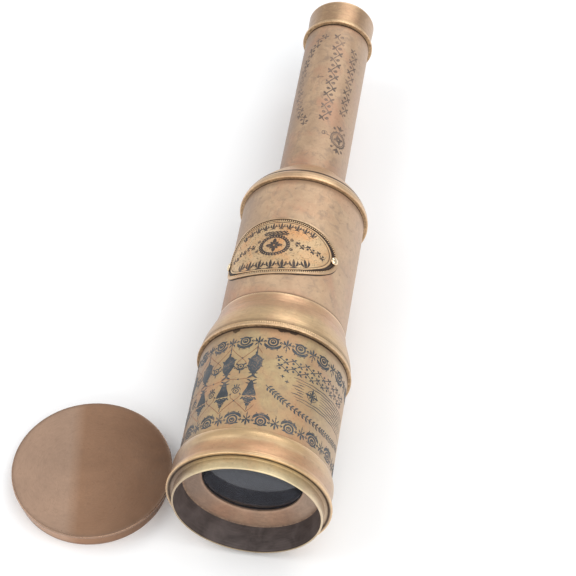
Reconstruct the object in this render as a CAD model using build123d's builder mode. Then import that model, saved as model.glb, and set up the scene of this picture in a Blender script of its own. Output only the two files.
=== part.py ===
from build123d import *
import os
from math import sqrt, sin, cos, radians

os.makedirs("parts", exist_ok=True)

# Draw telescope. Optical axis along +Y, origin at the centre of the front rim,
# +Y towards the eye, +Z up. Profiles are drawn as (radius, distance along Y).

# ---- driving dimensions, mm ----
spigot_r = 27.0          # outside of the ring that the cap pushes onto
spigot_len = 4.3
mouth_r = 26.2           # inside of the front rim
hood_r = 24.8            # inside of the hood at the lens cell
lip_r = 29.75            # widest turned edge
barrel_r = 27.6          # main barrel outside
barrel_wall = 0.9
barrel_y0, barrel_y1 = 8.0, 63.8
bell_y1 = 16.0           # rear edge of the flared skirt
cell_y0, cell_y1 = 9.6, 22.4
aperture_r = 18.2        # clear opening in front of the lens
lens_r = 21.9
collar_lip_r = 28.85
collar_y0, collar_y1 = 61.1, 80.0
body_r = 23.9            # body tube outside
body_wall = 0.9
body_y0, body_y1 = 68.0, 141.0
plate_t = 0.6
plate_angle = -15.1      # centre of the nameplate from +Z, towards +X
plate_half_w = 26.5      # half width measured round the tube
plate_half_h = 13.7      # half height along the tube
plate_y = 102.5
rivet_angle = 57.6       # each rivet from the plate's centre
rivet_y = plate_y
rivet_r = 0.7
draw_collar_r = 25.35
draw_collar_y0, draw_collar_y1 = 136.4, 152.2
draw_r = 13.3
draw_wall = 0.9
fit_gap = 0.06           # radial running clearance of the draw tube
draw_y0, draw_y1 = 113.0, 236.2
sleeve_r = 14.6
sleeve_y0, sleeve_y1 = 119.0, 151.0
eye_y1 = 247.8           # rear end of the eyecup
cap_x, cap_y = -62.3, 24.1
cap_disc_r = 29.7
cap_disc_t = 1.15
cap_skirt_r = 28.44
cap_bore_r = 27.08
cap_h = 7.1
floor_z = -lip_r

barrel_in = barrel_r - barrel_wall
body_in = body_r - body_wall
draw_in = draw_r - draw_wall
bore_r = draw_r + fit_gap


def sag(r, rho):
    return rho - sqrt(rho * rho - r * r)


# ---- main barrel ----
with BuildPart() as main_barrel:
    with BuildSketch(Plane.XY):
        with BuildLine():
            Polyline((barrel_in, barrel_y0), (barrel_r, barrel_y0), (barrel_r, barrel_y1),
                     (barrel_in, barrel_y1), close=True)
        make_face()
    revolve(axis=Axis.Y)
main_barrel.part.label = "main_barrel"
export_step(main_barrel.part, "parts/main_barrel.step")

# ---- front bell: spigot, sharp lip, hollow flare, slot for the barrel end ----
with BuildPart() as objective_bell:
    with BuildSketch(Plane.XY):
        with BuildLine():
            Polyline((mouth_r, 0), (spigot_r, 0), (spigot_r, spigot_len), (lip_r, spigot_len),
                     (lip_r, 5.4), (29.55, 5.8))
            Spline((29.55, 5.8), (29.15, 7.0), (28.9, 9.0), (28.9, 11.0), (29.0, 12.8),
                   (28.8, 14.4), (28.15, bell_y1))
            Polyline((28.15, bell_y1), (barrel_r, bell_y1), (barrel_r, barrel_y0), (barrel_in, barrel_y0),
                     (barrel_in, cell_y1), (hood_r, cell_y1), (hood_r, cell_y0), (mouth_r, 0))
        make_face()
    revolve(axis=Axis.Y)
objective_bell.part.label = "objective_bell"
export_step(objective_bell.part, "parts/objective_bell.step")

# ---- lens cell: sloping front annulus and a seat for the doublet ----
with BuildPart() as objective_cell:
    with BuildSketch(Plane.XY):
        with BuildLine():
            Polyline((aperture_r, 12.3), (hood_r, cell_y0), (hood_r, cell_y1), (22.0, cell_y1),
                     (22.0, 13.2), (aperture_r, 13.2), close=True)
        make_face()
    revolve(axis=Axis.Y)
objective_cell.part.label = "objective_cell"
export_step(objective_cell.part, "parts/objective_cell.step")

# ---- front, converging element ----
with BuildPart() as objective_crown_lens:
    with BuildSketch(Plane.XY):
        with BuildLine():
            ThreePointArc((0, 12.0), (11.0, 12.0 + sag(11.0, 130)), (lens_r, 12.0 + sag(lens_r, 130)))
            Line((lens_r, 12.0 + sag(lens_r, 130)), (lens_r, 17.5 - sag(lens_r, 95)))
            ThreePointArc((lens_r, 17.5 - sag(lens_r, 95)), (11.0, 17.5 - sag(11.0, 95)), (0, 17.5))
            Line((0, 17.5), (0, 12.0))
        make_face()
    revolve(axis=Axis.Y)
objective_crown_lens.part.label = "objective_crown_lens"
export_step(objective_crown_lens.part, "parts/objective_crown_lens.step")

# ---- rear, diverging element ----
with BuildPart() as objective_flint_lens:
    with BuildSketch(Plane.XY):
        with BuildLine():
            ThreePointArc((0, 17.55), (11.0, 17.55 - sag(11.0, 95)), (lens_r, 17.55 - sag(lens_r, 95)))
            Polyline((lens_r, 17.55 - sag(lens_r, 95)), (lens_r, 19.4), (0, 19.4), (0, 17.55))
        make_face()
    revolve(axis=Axis.Y)
objective_flint_lens.part.label = "objective_flint_lens"
export_step(objective_flint_lens.part, "parts/objective_flint_lens.step")

# ---- ring that holds the doublet, with two spanner slots ----
with BuildPart() as objective_retaining_ring:
    with BuildSketch(Plane.XY):
        with BuildLine():
            Polyline((19.6, 19.4), (22.0, 19.4), (22.0, 21.4), (19.6, 21.4), close=True)
        make_face()
    revolve(axis=Axis.Y)
    with BuildSketch(Plane.XZ.offset(-21.4)):
        with Locations((20.8, 0), (-20.8, 0)):
            Rectangle(3.4, 1.2)
    extrude(amount=1.0, mode=Mode.SUBTRACT)
objective_retaining_ring.part.label = "objective_retaining_ring"
export_step(objective_retaining_ring.part, "parts/objective_retaining_ring.step")

# ---- blackened light baffle ----
with BuildPart() as barrel_baffle:
    with BuildSketch(Plane.XY):
        with BuildLine():
            Polyline((17.5, 44.0), (barrel_in, 44.0), (barrel_in, 48.0), (25.9, 48.0), (25.9, 44.8),
                     (17.5, 44.8), close=True)
        make_face()
    revolve(axis=Axis.Y)
barrel_baffle.part.label = "barrel_baffle"
export_step(barrel_baffle.part, "parts/barrel_baffle.step")

# ---- rear collar: barrel to body tube ----
with BuildPart() as rear_collar:
    with BuildSketch(Plane.XY):
        with BuildLine():
            Polyline((barrel_r, collar_y0), (28.6, collar_y0), (collar_lip_r, 61.35),
                     (collar_lip_r, 61.8), (28.6, 62.2))
            Spline((28.6, 62.2), (28.35, 64.0), (27.8, 67.0), (26.95, 70.0), (25.95, 73.0),
                   (25.0, 76.0), (24.25, collar_y1))
            Polyline((24.25, collar_y1), (body_r, collar_y1), (body_r, body_y0), (26.0, body_y0),
                     (26.0, barrel_y1), (barrel_r, barrel_y1), (barrel_r, collar_y0))
        make_face()
    revolve(axis=Axis.Y)
rear_collar.part.label = "rear_collar"
export_step(rear_collar.part, "parts/rear_collar.step")


# ---- planes that face outwards at a given angle round the tube ----
def radial_plane(angle, height):
    a = radians(angle)
    return Plane(origin=(height * sin(a), 0, height * cos(a)), x_dir=(cos(a), 0, -sin(a)),
                 z_dir=(sin(a), 0, cos(a)))


rivet_angles = (plate_angle - rivet_angle, plate_angle + rivet_angle)

# ---- body tube ----
with BuildPart() as body_tube:
    with BuildSketch(Plane.XY):
        with BuildLine():
            Polyline((body_in, body_y0), (body_r, body_y0), (body_r, body_y1), (body_in, body_y1),
                     close=True)
        make_face()
    revolve(axis=Axis.Y)
    for ang in rivet_angles:
        with BuildSketch(radial_plane(ang, body_in - 1.5)):
            with Locations((0, rivet_y)):
                Circle(rivet_r)
        extrude(amount=4.0, mode=Mode.SUBTRACT)
body_tube.part.label = "body_tube"
export_step(body_tube.part, "parts/body_tube.step")

# ---- oval nameplate, bent to the tube ----
plate_mid = body_r + plate_t / 2
outline = []
for i in range(36):
    t = radians(10 * i)
    outline.append((plate_mid * sin(plate_half_w * cos(t) / plate_mid), plate_y + plate_half_h * sin(t)))
with BuildPart() as nameplate:
    with BuildSketch(radial_plane(plate_angle, 5.0)):
        with BuildLine():
            Spline(*outline, periodic=True)
        make_face()
    extrude(amount=22.0)
    with BuildSketch(Plane.XY):
        with BuildLine():
            Polyline((body_r, 84), (body_r + plate_t, 84), (body_r + plate_t, 120), (body_r, 120),
                     close=True)
        make_face()
    revolve(axis=Axis.Y, mode=Mode.INTERSECT)
    for ang in rivet_angles:
        with BuildSketch(radial_plane(ang, body_in)):
            with Locations((0, rivet_y)):
                Circle(rivet_r)
        extrude(amount=4.0, mode=Mode.SUBTRACT)
nameplate.part.label = "nameplate"
export_step(nameplate.part, "parts/nameplate.step")

# ---- two dome rivets, peened inside the tube ----
with BuildPart() as nameplate_rivets:
    for ang in rivet_angles:
        with BuildSketch(radial_plane(ang, body_in - 0.55)):
            with Locations((0, rivet_y)):
                Circle(1.2)
        extrude(amount=0.5)
        with BuildSketch(radial_plane(ang, body_in - 0.3)):
            with Locations((0, rivet_y)):
                Circle(rivet_r)
        extrude(amount=0.3 + body_wall + plate_t)
        with BuildSketch(radial_plane(ang, body_r + plate_t)):
            with Locations((0, rivet_y)):
                Circle(1.7)
        extrude(amount=0.95, taper=32)
nameplate_rivets.part.label = "nameplate_rivets"
export_step(nameplate_rivets.part, "parts/nameplate_rivets.step")

# ---- draw collar: domed end of the body, with a hub for the guide sleeve ----
with BuildPart() as draw_collar:
    with BuildSketch(Plane.XY):
        with BuildLine():
            Polyline((body_r, draw_collar_y0), (25.15, draw_collar_y0), (draw_collar_r, 136.6),
                     (draw_collar_r, 137.5), (25.2, 137.9))
            Spline((25.2, 137.9), (24.8, 139.3), (23.4, 142.0), (21.3, 145.0), (18.9, 148.0),
                   (16.6, 150.6), (15.3, draw_collar_y1))
            Polyline((15.3, draw_collar_y1), (bore_r, draw_collar_y1), (bore_r, sleeve_y1),
                     (sleeve_r, sleeve_y1), (sleeve_r, body_y1), (16.0, body_y1), (16.0, 147.7),
                     (17.2, 147.7), (22.4, body_y1), (body_r, body_y1), (body_r, draw_collar_y0))
        make_face()
    revolve(axis=Axis.Y)
draw_collar.part.label = "draw_collar"
export_step(draw_collar.part, "parts/draw_collar.step")

# ---- guide sleeve with four spring slits ----
with BuildPart() as draw_guide_sleeve:
    with BuildSketch(Plane.XY):
        with BuildLine():
            Polyline((bore_r, sleeve_y0), (sleeve_r, sleeve_y0), (sleeve_r, sleeve_y1),
                     (bore_r, sleeve_y1), close=True)
        make_face()
    revolve(axis=Axis.Y)
    for ang in (0, 90, 180, 270):
        with BuildSketch(radial_plane(ang, bore_r - 2.0)):
            with Locations((0, sleeve_y0 + 8.0)):
                Rectangle(1.2, 20.0)
        extrude(amount=5.0, mode=Mode.SUBTRACT)
draw_guide_sleeve.part.label = "draw_guide_sleeve"
export_step(draw_guide_sleeve.part, "parts/draw_guide_sleeve.step")

# ---- draw tube ----
with BuildPart() as draw_tube:
    with BuildSketch(Plane.XY):
        with BuildLine():
            Polyline((draw_in, draw_y0), (draw_r, draw_y0), (draw_r, draw_y1), (draw_in, draw_y1),
                     close=True)
        make_face()
    revolve(axis=Axis.Y)
draw_tube.part.label = "draw_tube"
export_step(draw_tube.part, "parts/draw_tube.step")

# ---- stop ring on the inner end of the draw ----
with BuildPart() as draw_stop_ring:
    with BuildSketch(Plane.XY):
        with BuildLine():
            Polyline((draw_r, draw_y0), (14.5, draw_y0), (14.5, 118.6), (draw_r, 118.6), close=True)
        make_face()
    revolve(axis=Axis.Y)
draw_stop_ring.part.label = "draw_stop_ring"
export_step(draw_stop_ring.part, "parts/draw_stop_ring.step")

# ---- sharp-edged ring in front of the eyecup ----
with BuildPart() as eyepiece_bead_ring:
    with BuildSketch(Plane.XY):
        with BuildLine():
            Polyline((draw_r, 234.2), (14.55, 234.2), (14.67, 234.32), (14.67, 235.2), (14.2, 235.8),
                     (13.7, draw_y1), (draw_r, draw_y1), close=True)
        make_face()
    revolve(axis=Axis.Y)
eyepiece_bead_ring.part.label = "eyepiece_bead_ring"
export_step(eyepiece_bead_ring.part, "parts/eyepiece_bead_ring.step")

# ---- flared eyecup with a dished face and a threaded nose ----
with BuildPart() as eyepiece_cup:
    with BuildSketch(Plane.XY):
        with BuildLine():
            Spline((5.5, 243.9), (8.2, 244.6), (10.6, 246.0), (12.4, eye_y1))
            Polyline((12.4, eye_y1), (13.4, eye_y1), (13.8, 247.1), (13.55, 240.0), (13.6, draw_y1),
                     (draw_in, draw_y1), (draw_in, 229.0), (11.4, 229.0), (11.4, 236.6), (7.1, 236.6),
                     (7.1, 241.8), (5.5, 241.8), (5.5, 243.9))
        make_face()
    revolve(axis=Axis.Y)
eyepiece_cup.part.label = "eyepiece_cup"
export_step(eyepiece_cup.part, "parts/eyepiece_cup.step")

# ---- eye lens, flat side to the eye ----
with BuildPart() as eye_lens:
    with BuildSketch(Plane.XY):
        with BuildLine():
            ThreePointArc((0, 238.2), (3.5, 238.2 + sag(3.5, 16)), (7.0, 238.2 + sag(7.0, 16)))
            Polyline((7.0, 238.2 + sag(7.0, 16)), (7.0, 241.75), (0, 241.75), (0, 238.2))
        make_face()
    revolve(axis=Axis.Y)
eye_lens.part.label = "eye_lens"
export_step(eye_lens.part, "parts/eye_lens.step")

with BuildPart() as eye_lens_retainer:
    with BuildSketch(Plane.XY):
        with BuildLine():
            Polyline((6.0, 236.8), (7.1, 236.8), (7.1, 239.3), (6.0, 239.3), close=True)
        make_face()
    revolve(axis=Axis.Y)
eye_lens_retainer.part.label = "eye_lens_retainer"
export_step(eye_lens_retainer.part, "parts/eye_lens_retainer.step")

# ---- eyepiece tube, screwed into the eyecup's nose ----
with BuildPart() as eyepiece_tube:
    with BuildSketch(Plane.XY):
        with BuildLine():
            Polyline((10.4, 210.0), (11.4, 210.0), (11.4, 235.0), (9.4, 235.0), (9.4, 217.0),
                     (10.4, 217.0), close=True)
        make_face()
    revolve(axis=Axis.Y)
eyepiece_tube.part.label = "eyepiece_tube"
export_step(eyepiece_tube.part, "parts/eyepiece_tube.step")

with BuildPart() as field_lens:
    with BuildSketch(Plane.XY):
        with BuildLine():
            ThreePointArc((0, 213.0), (5.2, 213.0 + sag(5.2, 24)), (10.35, 213.0 + sag(10.35, 24)))
            Polyline((10.35, 213.0 + sag(10.35, 24)), (10.35, 216.95), (0, 216.95), (0, 213.0))
        make_face()
    revolve(axis=Axis.Y)
field_lens.part.label = "field_lens"
export_step(field_lens.part, "parts/field_lens.step")

with BuildPart() as field_lens_retainer:
    with BuildSketch(Plane.XY):
        with BuildLine():
            Polyline((8.6, 211.5), (10.4, 211.5), (10.4, 214.4), (8.6, 214.4), close=True)
        make_face()
    revolve(axis=Axis.Y)
field_lens_retainer.part.label = "field_lens_retainer"
export_step(field_lens_retainer.part, "parts/field_lens_retainer.step")

with BuildPart() as eyepiece_field_stop:
    with BuildSketch(Plane.XY):
        with BuildLine():
            Polyline((5.5, 226.0), (9.4, 226.0), (9.4, 226.8), (5.5, 226.8), close=True)
        make_face()
    revolve(axis=Axis.Y)
eyepiece_field_stop.part.label = "eyepiece_field_stop"
export_step(eyepiece_field_stop.part, "parts/eyepiece_field_stop.step")

# ---- erecting lens pair in its tube, at the inner end of the draw ----
with BuildPart() as erector_tube:
    with BuildSketch(Plane.XY):
        with BuildLine():
            Polyline((11.4, 114.0), (draw_in, 114.0), (draw_in, 166.0), (11.4, 166.0), (11.4, 159.5),
                     (10.6, 159.5), (10.6, 120.5), (11.4, 120.5), close=True)
        make_face()
    revolve(axis=Axis.Y)
erector_tube.part.label = "erector_tube"
export_step(erector_tube.part, "parts/erector_tube.step")

with BuildPart() as erector_front_lens:
    with BuildSketch(Plane.XY):
        with BuildLine():
            ThreePointArc((0, 116.9), (5.7, 116.9 + sag(5.7, 30)), (11.35, 116.9 + sag(11.35, 30)))
            Polyline((11.35, 116.9 + sag(11.35, 30)), (11.35, 120.45), (0, 120.45), (0, 116.9))
        make_face()
    revolve(axis=Axis.Y)
erector_front_lens.part.label = "erector_front_lens"
export_step(erector_front_lens.part, "parts/erector_front_lens.step")

with BuildPart() as erector_rear_lens:
    with BuildSketch(Plane.XY):
        with BuildLine():
            ThreePointArc((0, 163.1), (5.7, 163.1 - sag(5.7, 30)), (11.35, 163.1 - sag(11.35, 30)))
            Polyline((11.35, 163.1 - sag(11.35, 30)), (11.35, 159.55), (0, 159.55), (0, 163.1))
        make_face()
    revolve(axis=Axis.Y)
erector_rear_lens.part.label = "erector_rear_lens"
export_step(erector_rear_lens.part, "parts/erector_rear_lens.step")

with BuildPart() as erector_lens_rings:
    with BuildSketch(Plane.XY):
        with BuildLine():
            Polyline((9.8, 115.5), (11.4, 115.5), (11.4, 118.4), (9.8, 118.4), close=True)
        make_face()
        with BuildLine():
            Polyline((9.8, 161.6), (11.4, 161.6), (11.4, 164.5), (9.8, 164.5), close=True)
        make_face()
    revolve(axis=Axis.Y)
erector_lens_rings.part.label = "erector_lens_rings"
export_step(erector_lens_rings.part, "parts/erector_lens_rings.step")

with BuildPart() as erector_stop:
    with BuildSketch(Plane.XY):
        with BuildLine():
            Polyline((3.5, 140.0), (10.6, 140.0), (10.6, 140.8), (3.5, 140.8), close=True)
        make_face()
    revolve(axis=Axis.Y)
erector_stop.part.label = "erector_stop"
export_step(erector_stop.part, "parts/erector_stop.step")

# ---- push-on cap, lying open side down beside the bell ----
with BuildPart() as cap_disc:
    with BuildSketch(Plane(origin=(cap_x, cap_y, floor_z + cap_h - cap_disc_t))):
        Circle(cap_disc_r)
    extrude(amount=cap_disc_t)
    fillet(cap_disc.edges().filter_by(GeomType.CIRCLE), radius=0.3)
cap_disc.part.label = "cap_disc"
export_step(cap_disc.part, "parts/cap_disc.step")

with BuildPart() as cap_skirt:
    with BuildSketch(Plane(origin=(cap_x, cap_y, floor_z))):
        Circle(cap_skirt_r)
        Circle(cap_bore_r, mode=Mode.SUBTRACT)
    extrude(amount=cap_h - cap_disc_t)
cap_skirt.part.label = "cap_skirt"
export_step(cap_skirt.part, "parts/cap_skirt.step")
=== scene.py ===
import bpy, bmesh, math, random
import numpy as np
from mathutils import Vector, Matrix


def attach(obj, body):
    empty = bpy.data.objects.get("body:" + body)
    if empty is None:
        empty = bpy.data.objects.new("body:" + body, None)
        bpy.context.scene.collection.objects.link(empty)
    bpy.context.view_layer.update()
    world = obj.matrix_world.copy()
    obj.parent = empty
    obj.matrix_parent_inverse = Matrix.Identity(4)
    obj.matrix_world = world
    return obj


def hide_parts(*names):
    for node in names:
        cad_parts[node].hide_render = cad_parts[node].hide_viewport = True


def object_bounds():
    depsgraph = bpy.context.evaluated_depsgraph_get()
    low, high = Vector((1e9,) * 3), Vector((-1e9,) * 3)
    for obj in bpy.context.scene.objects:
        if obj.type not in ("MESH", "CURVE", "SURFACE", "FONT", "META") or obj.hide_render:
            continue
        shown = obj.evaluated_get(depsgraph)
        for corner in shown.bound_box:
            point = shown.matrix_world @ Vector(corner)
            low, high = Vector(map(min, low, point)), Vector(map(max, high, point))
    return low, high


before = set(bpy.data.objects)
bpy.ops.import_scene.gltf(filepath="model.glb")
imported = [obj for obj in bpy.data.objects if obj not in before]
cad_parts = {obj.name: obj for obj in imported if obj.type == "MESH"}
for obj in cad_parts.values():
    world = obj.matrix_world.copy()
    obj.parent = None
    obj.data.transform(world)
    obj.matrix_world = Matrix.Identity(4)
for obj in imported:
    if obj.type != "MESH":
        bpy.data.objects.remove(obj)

cad_lo, cad_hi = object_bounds()
rng = random.Random(11)
MM = 0.001
PI = math.pi

# ------------------------------------------------------------------ camera
cam_data = bpy.data.cameras.new("camera")
cam = bpy.data.objects.new("camera", cam_data)
bpy.context.scene.collection.objects.link(cam)
right = Vector((0.9885081, 0.15116792, 0.0))
up = Vector((-0.11769856, 0.76964728, 0.62752699))
back = Vector((0.09486195, -0.62031551, 0.77859481))
rot = Matrix((right, up, back)).transposed()
cam.matrix_world = Matrix.Translation((0.07156793, -0.37204780, 0.59462556)) @ rot.to_4x4()
cam_data.sensor_width = 36.0
cam_data.lens = 125.0
cam_data.clip_start, cam_data.clip_end = 0.02, 20.0
bpy.context.scene.camera = cam
bpy.context.scene.view_settings.view_transform = "Standard"


# ------------------------------------------------------------------ shader helpers
def new_mat(name):
    m = bpy.data.materials.new(name)
    m.use_nodes = True
    nt = m.node_tree
    nt.nodes.clear()
    out = nt.nodes.new("ShaderNodeOutputMaterial")
    bsdf = nt.nodes.new("ShaderNodeBsdfPrincipled")
    nt.links.new(bsdf.outputs[0], out.inputs[0])
    return m, nt, bsdf


def setv(nt, sock, v):
    if v is None:
        return
    if isinstance(v, bpy.types.NodeSocket):
        nt.links.new(v, sock)
    else:
        sock.default_value = v


def math_n(nt, op, a, b=None, c=None, clamp=False):
    n = nt.nodes.new("ShaderNodeMath")
    n.operation = op
    n.use_clamp = clamp
    for i, v in enumerate((a, b, c)):
        setv(nt, n.inputs[i], v)
    return n.outputs[0]


def noise(nt, vec, scale, detail=4.0, rough=0.55, dist=0.0, out="Fac"):
    n = nt.nodes.new("ShaderNodeTexNoise")
    nt.links.new(vec, n.inputs["Vector"])
    n.inputs["Scale"].default_value = scale
    n.inputs["Detail"].default_value = detail
    n.inputs["Roughness"].default_value = rough
    n.inputs["Distortion"].default_value = dist
    return n.outputs[out]


def ramp(nt, fac, stops):
    n = nt.nodes.new("ShaderNodeValToRGB")
    nt.links.new(fac, n.inputs[0])
    el = n.color_ramp.elements
    while len(el) < len(stops):
        el.new(0.5)
    for e, (p, c) in zip(el, stops):
        e.position = p
        e.color = (c, c, c, 1) if isinstance(c, (int, float)) else (*c, 1)
    return n.outputs[0]


def mix(nt, fac, a, b, mode="MIX"):
    n = nt.nodes.new("ShaderNodeMix")
    n.data_type = "RGBA"
    n.blend_type = mode
    setv(nt, n.inputs[0], fac)
    for sock, v in ((n.inputs[6], a), (n.inputs[7], b)):
        if isinstance(v, tuple):
            v = (*v, 1)
        setv(nt, sock, v)
    return n.outputs[2]


def object_coords(nt):
    return nt.nodes.new("ShaderNodeTexCoord").outputs["Object"]


def split(nt, vec):
    n = nt.nodes.new("ShaderNodeSeparateXYZ")
    nt.links.new(vec, n.inputs[0])
    return n.outputs


def join(nt, x, y, z):
    n = nt.nodes.new("ShaderNodeCombineXYZ")
    for s, v in zip(n.inputs, (x, y, z)):
        setv(nt, s, v)
    return n.outputs[0]


def scaled(nt, vec, sx, sy, sz):
    n = nt.nodes.new("ShaderNodeVectorMath")
    n.operation = "MULTIPLY"
    nt.links.new(vec, n.inputs[0])
    n.inputs[1].default_value = (sx, sy, sz)
    return n.outputs[0]


def attr(nt, name):
    n = nt.nodes.new("ShaderNodeAttribute")
    n.attribute_name = name
    return n.outputs["Fac"]


def bump(nt, height, strength, dist, prev=None):
    n = nt.nodes.new("ShaderNodeBump")
    n.inputs["Strength"].default_value = strength
    n.inputs["Distance"].default_value = dist
    nt.links.new(height, n.inputs["Height"])
    if prev is not None:
        nt.links.new(prev, n.inputs["Normal"])
    return n.outputs[0]


def near(nt, vec, centre, radii):
    """1 at a point, falling to 0 at the given radii."""
    n = nt.nodes.new("ShaderNodeVectorMath")
    n.operation = "SUBTRACT"
    nt.links.new(vec, n.inputs[0])
    n.inputs[1].default_value = centre
    m = scaled(nt, n.outputs[0], 1 / radii[0], 1 / radii[1], 1 / radii[2])
    ln = nt.nodes.new("ShaderNodeVectorMath")
    ln.operation = "LENGTH"
    nt.links.new(m, ln.inputs[0])
    return math_n(nt, "SUBTRACT", 1.0, ln.outputs["Value"], clamp=True)


def aged_brass(name, base, pale, warm, dark, rough=(0.34, 0.52), turned=0.0, axis="Y", centre=(0, 0), mottle=95.0,
               grain=1.0, spots=(), edge_gain=0.8, dirt_and_shade_gain=1.0, metallic=1.0, speck=0.35, grey=0.35, tint_and_highlight_bands=(), painted_reflection_splits=(), painted_flank_light=0.0, painted_under_shade=0.0):
    """Old lacquered brass: cloudy patina, pink and yellow clouds, fine turning or polishing lines,
    small dark specks, bright worn edges, grime and painted shade in the corners, and on request
    coloured stripes along the axis (some of them painted highlights), painted reflections across the piece,
    painted light on the flanks and painted shade towards the bottom."""
    m, nt, b = new_mat(name)
    P = object_coords(nt)
    x, y, z = split(nt, P)
    if axis == "Y":
        ang = math_n(nt, "ARCTAN2", x, z)
        lon, rad = y, None
        r2 = math_n(nt, "ADD", math_n(nt, "MULTIPLY", x, x), math_n(nt, "MULTIPLY", z, z))
    else:
        dx = math_n(nt, "SUBTRACT", x, centre[0])
        dy = math_n(nt, "SUBTRACT", y, centre[1])
        ang = math_n(nt, "ARCTAN2", dx, dy)
        lon = z
        r2 = math_n(nt, "ADD", math_n(nt, "MULTIPLY", dx, dx), math_n(nt, "MULTIPLY", dy, dy))
    rad = math_n(nt, "SQRT", r2)
    # coordinates that follow the lathe: little change round the axis, quick change along the profile
    lathe = join(nt, math_n(nt, "MULTIPLY", math_n(nt, "SINE", ang), 0.004),
                 math_n(nt, "MULTIPLY", math_n(nt, "COSINE", ang), 0.004),
                 math_n(nt, "ADD", lon, rad))
    along = join(nt, math_n(nt, "MULTIPLY", ang, 0.02), math_n(nt, "MULTIPLY", lon, 0.05), rad)

    cloud = noise(nt, P, mottle, 6, 0.62, 0.6)
    cloud2 = noise(nt, P, mottle * 0.42, 4, 0.55, 1.2)
    fine = noise(nt, P, mottle * 9, 5, 0.7)
    lines = noise(nt, lathe, 2600, 3, 0.6)
    drawn = noise(nt, along, 1500, 3, 0.6)

    col = mix(nt, ramp(nt, cloud, [(0.36, 0.0), (0.64, 1.0)]), base, pale)
    col = mix(nt, ramp(nt, cloud2, [(0.46, 0.0), (0.68, 0.75)]), col, warm)
    grain3 = noise(nt, P, mottle * 3.1, 4, 0.6, 0.8)
    col = mix(nt, ramp(nt, grain3, [(0.50, 0.0), (0.70, grey)]), col, tuple(0.62 * c + 0.12 * (sum(base) / 3 + 0.10) for c in base))
    # stripes along the axis: tints of the metal, and on some pieces painted highlights along ridges and cones
    for (y0, y1, soft, c3, amt) in tint_and_highlight_bands:
        up_ = ramp(nt, math_n(nt, "MULTIPLY_ADD", lon, 1000.0 / 300, 0.0), [(max(0, (y0 - soft) / 300), 0.0), (y0 / 300, 1.0)])
        dn_ = ramp(nt, math_n(nt, "MULTIPLY_ADD", lon, 1000.0 / 300, 0.0), [(y1 / 300, 1.0), ((y1 + soft) / 300, 0.0)])
        wob = math_n(nt, "ADD", 0.65, math_n(nt, "MULTIPLY", math_n(nt, "SUBTRACT", noise(nt, join(nt, math_n(nt, "MULTIPLY", ang, 0.008), math_n(nt, "MULTIPLY", lon, 1.0), 0.0), 700, 3, 0.6), 0.5), 1.6))
        col = mix(nt, math_n(nt, "MULTIPLY", math_n(nt, "MULTIPLY", math_n(nt, "MULTIPLY", up_, dn_), wob, clamp=True), amt, clamp=True), col, c3)
    for (vx, vy, off, soft, c4, amt) in painted_reflection_splits:
        # painted reflection: everything on one half of a line across the piece is lightened, with a soft edge
        reflection_side = math_n(nt, "ADD", math_n(nt, "MULTIPLY", x, vx), math_n(nt, "MULTIPLY_ADD", y, vy, -off))
        reflection_side = math_n(nt, "MULTIPLY_ADD", reflection_side, -1.0 / soft, 0.5, clamp=True)
        col = mix(nt, math_n(nt, "MULTIPLY", reflection_side, amt), col, c4)
    if painted_flank_light:
        # painted light on the flanks: the right one is lightened towards pale grey as a painted reflection, the left
        # one darkened as painted shade
        flank_light_side = math_n(nt, "ADD", math_n(nt, "DIVIDE", x, rad), math_n(nt, "MULTIPLY", math_n(nt, "SUBTRACT", cloud2, 0.5), 0.30))
        col = mix(nt, ramp(nt, flank_light_side, [(0.60, 0.0), (0.95, 0.75 * painted_flank_light)]), col, sR(198, 176, 158))
        col = mix(nt, ramp(nt, math_n(nt, "MULTIPLY", flank_light_side, -1.0), [(0.55, 0.0), (0.93, painted_flank_light)]), col, sR(150, 130, 116))
    if painted_under_shade:
        # painted shade: darker towards the bottom of the piece
        below_shade = math_n(nt, "ADD", math_n(nt, "DIVIDE", math_n(nt, "MULTIPLY", z, -1.0), rad), math_n(nt, "MULTIPLY", math_n(nt, "SUBTRACT", cloud2, 0.5), 0.25))
        col = mix(nt, ramp(nt, below_shade, [(0.25, 0.0), (0.75, painted_under_shade)]), col, sR(104, 84, 72))
    col = mix(nt, ramp(nt, fine, [(0.58, 0.0), (0.76, speck)]), col, dark)
    col = mix(nt, ramp(nt, fine, [(0.24, speck * 0.8), (0.42, 0.0)]), col, tuple(min(1, c * 1.18 + 0.02) for c in pale))
    hair = noise(nt, scaled(nt, P, 1.0, 0.22, 1.0), 520, 2, 0.5)
    hmask = ramp(nt, cloud, [(0.45, 0.0), (0.6, 0.30)])
    col = mix(nt, math_n(nt, "MULTIPLY", ramp(nt, hair, [(0.485, 0.0), (0.5, 1.0), (0.515, 0.0)]), hmask), col, tuple(min(1, c * 1.25 + 0.03) for c in pale))
    col = mix(nt, ramp(nt, lines, [(0.3, 0.20 * turned + 0.03), (0.7, 0.0)]), col, dark)
    # cavity darkening: grime and painted shade in hollows, beneath lips and in gaps between parts; it also roughens the
    # surface
    dirt_and_shade = math_n(nt, "MULTIPLY", attr(nt, "cavity"), math_n(nt, "ADD", 0.55, math_n(nt, "MULTIPLY", cloud, 0.9)), clamp=True)
    col = mix(nt, math_n(nt, "MULTIPLY", dirt_and_shade, dirt_and_shade_gain, clamp=True), col, dark)
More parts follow.
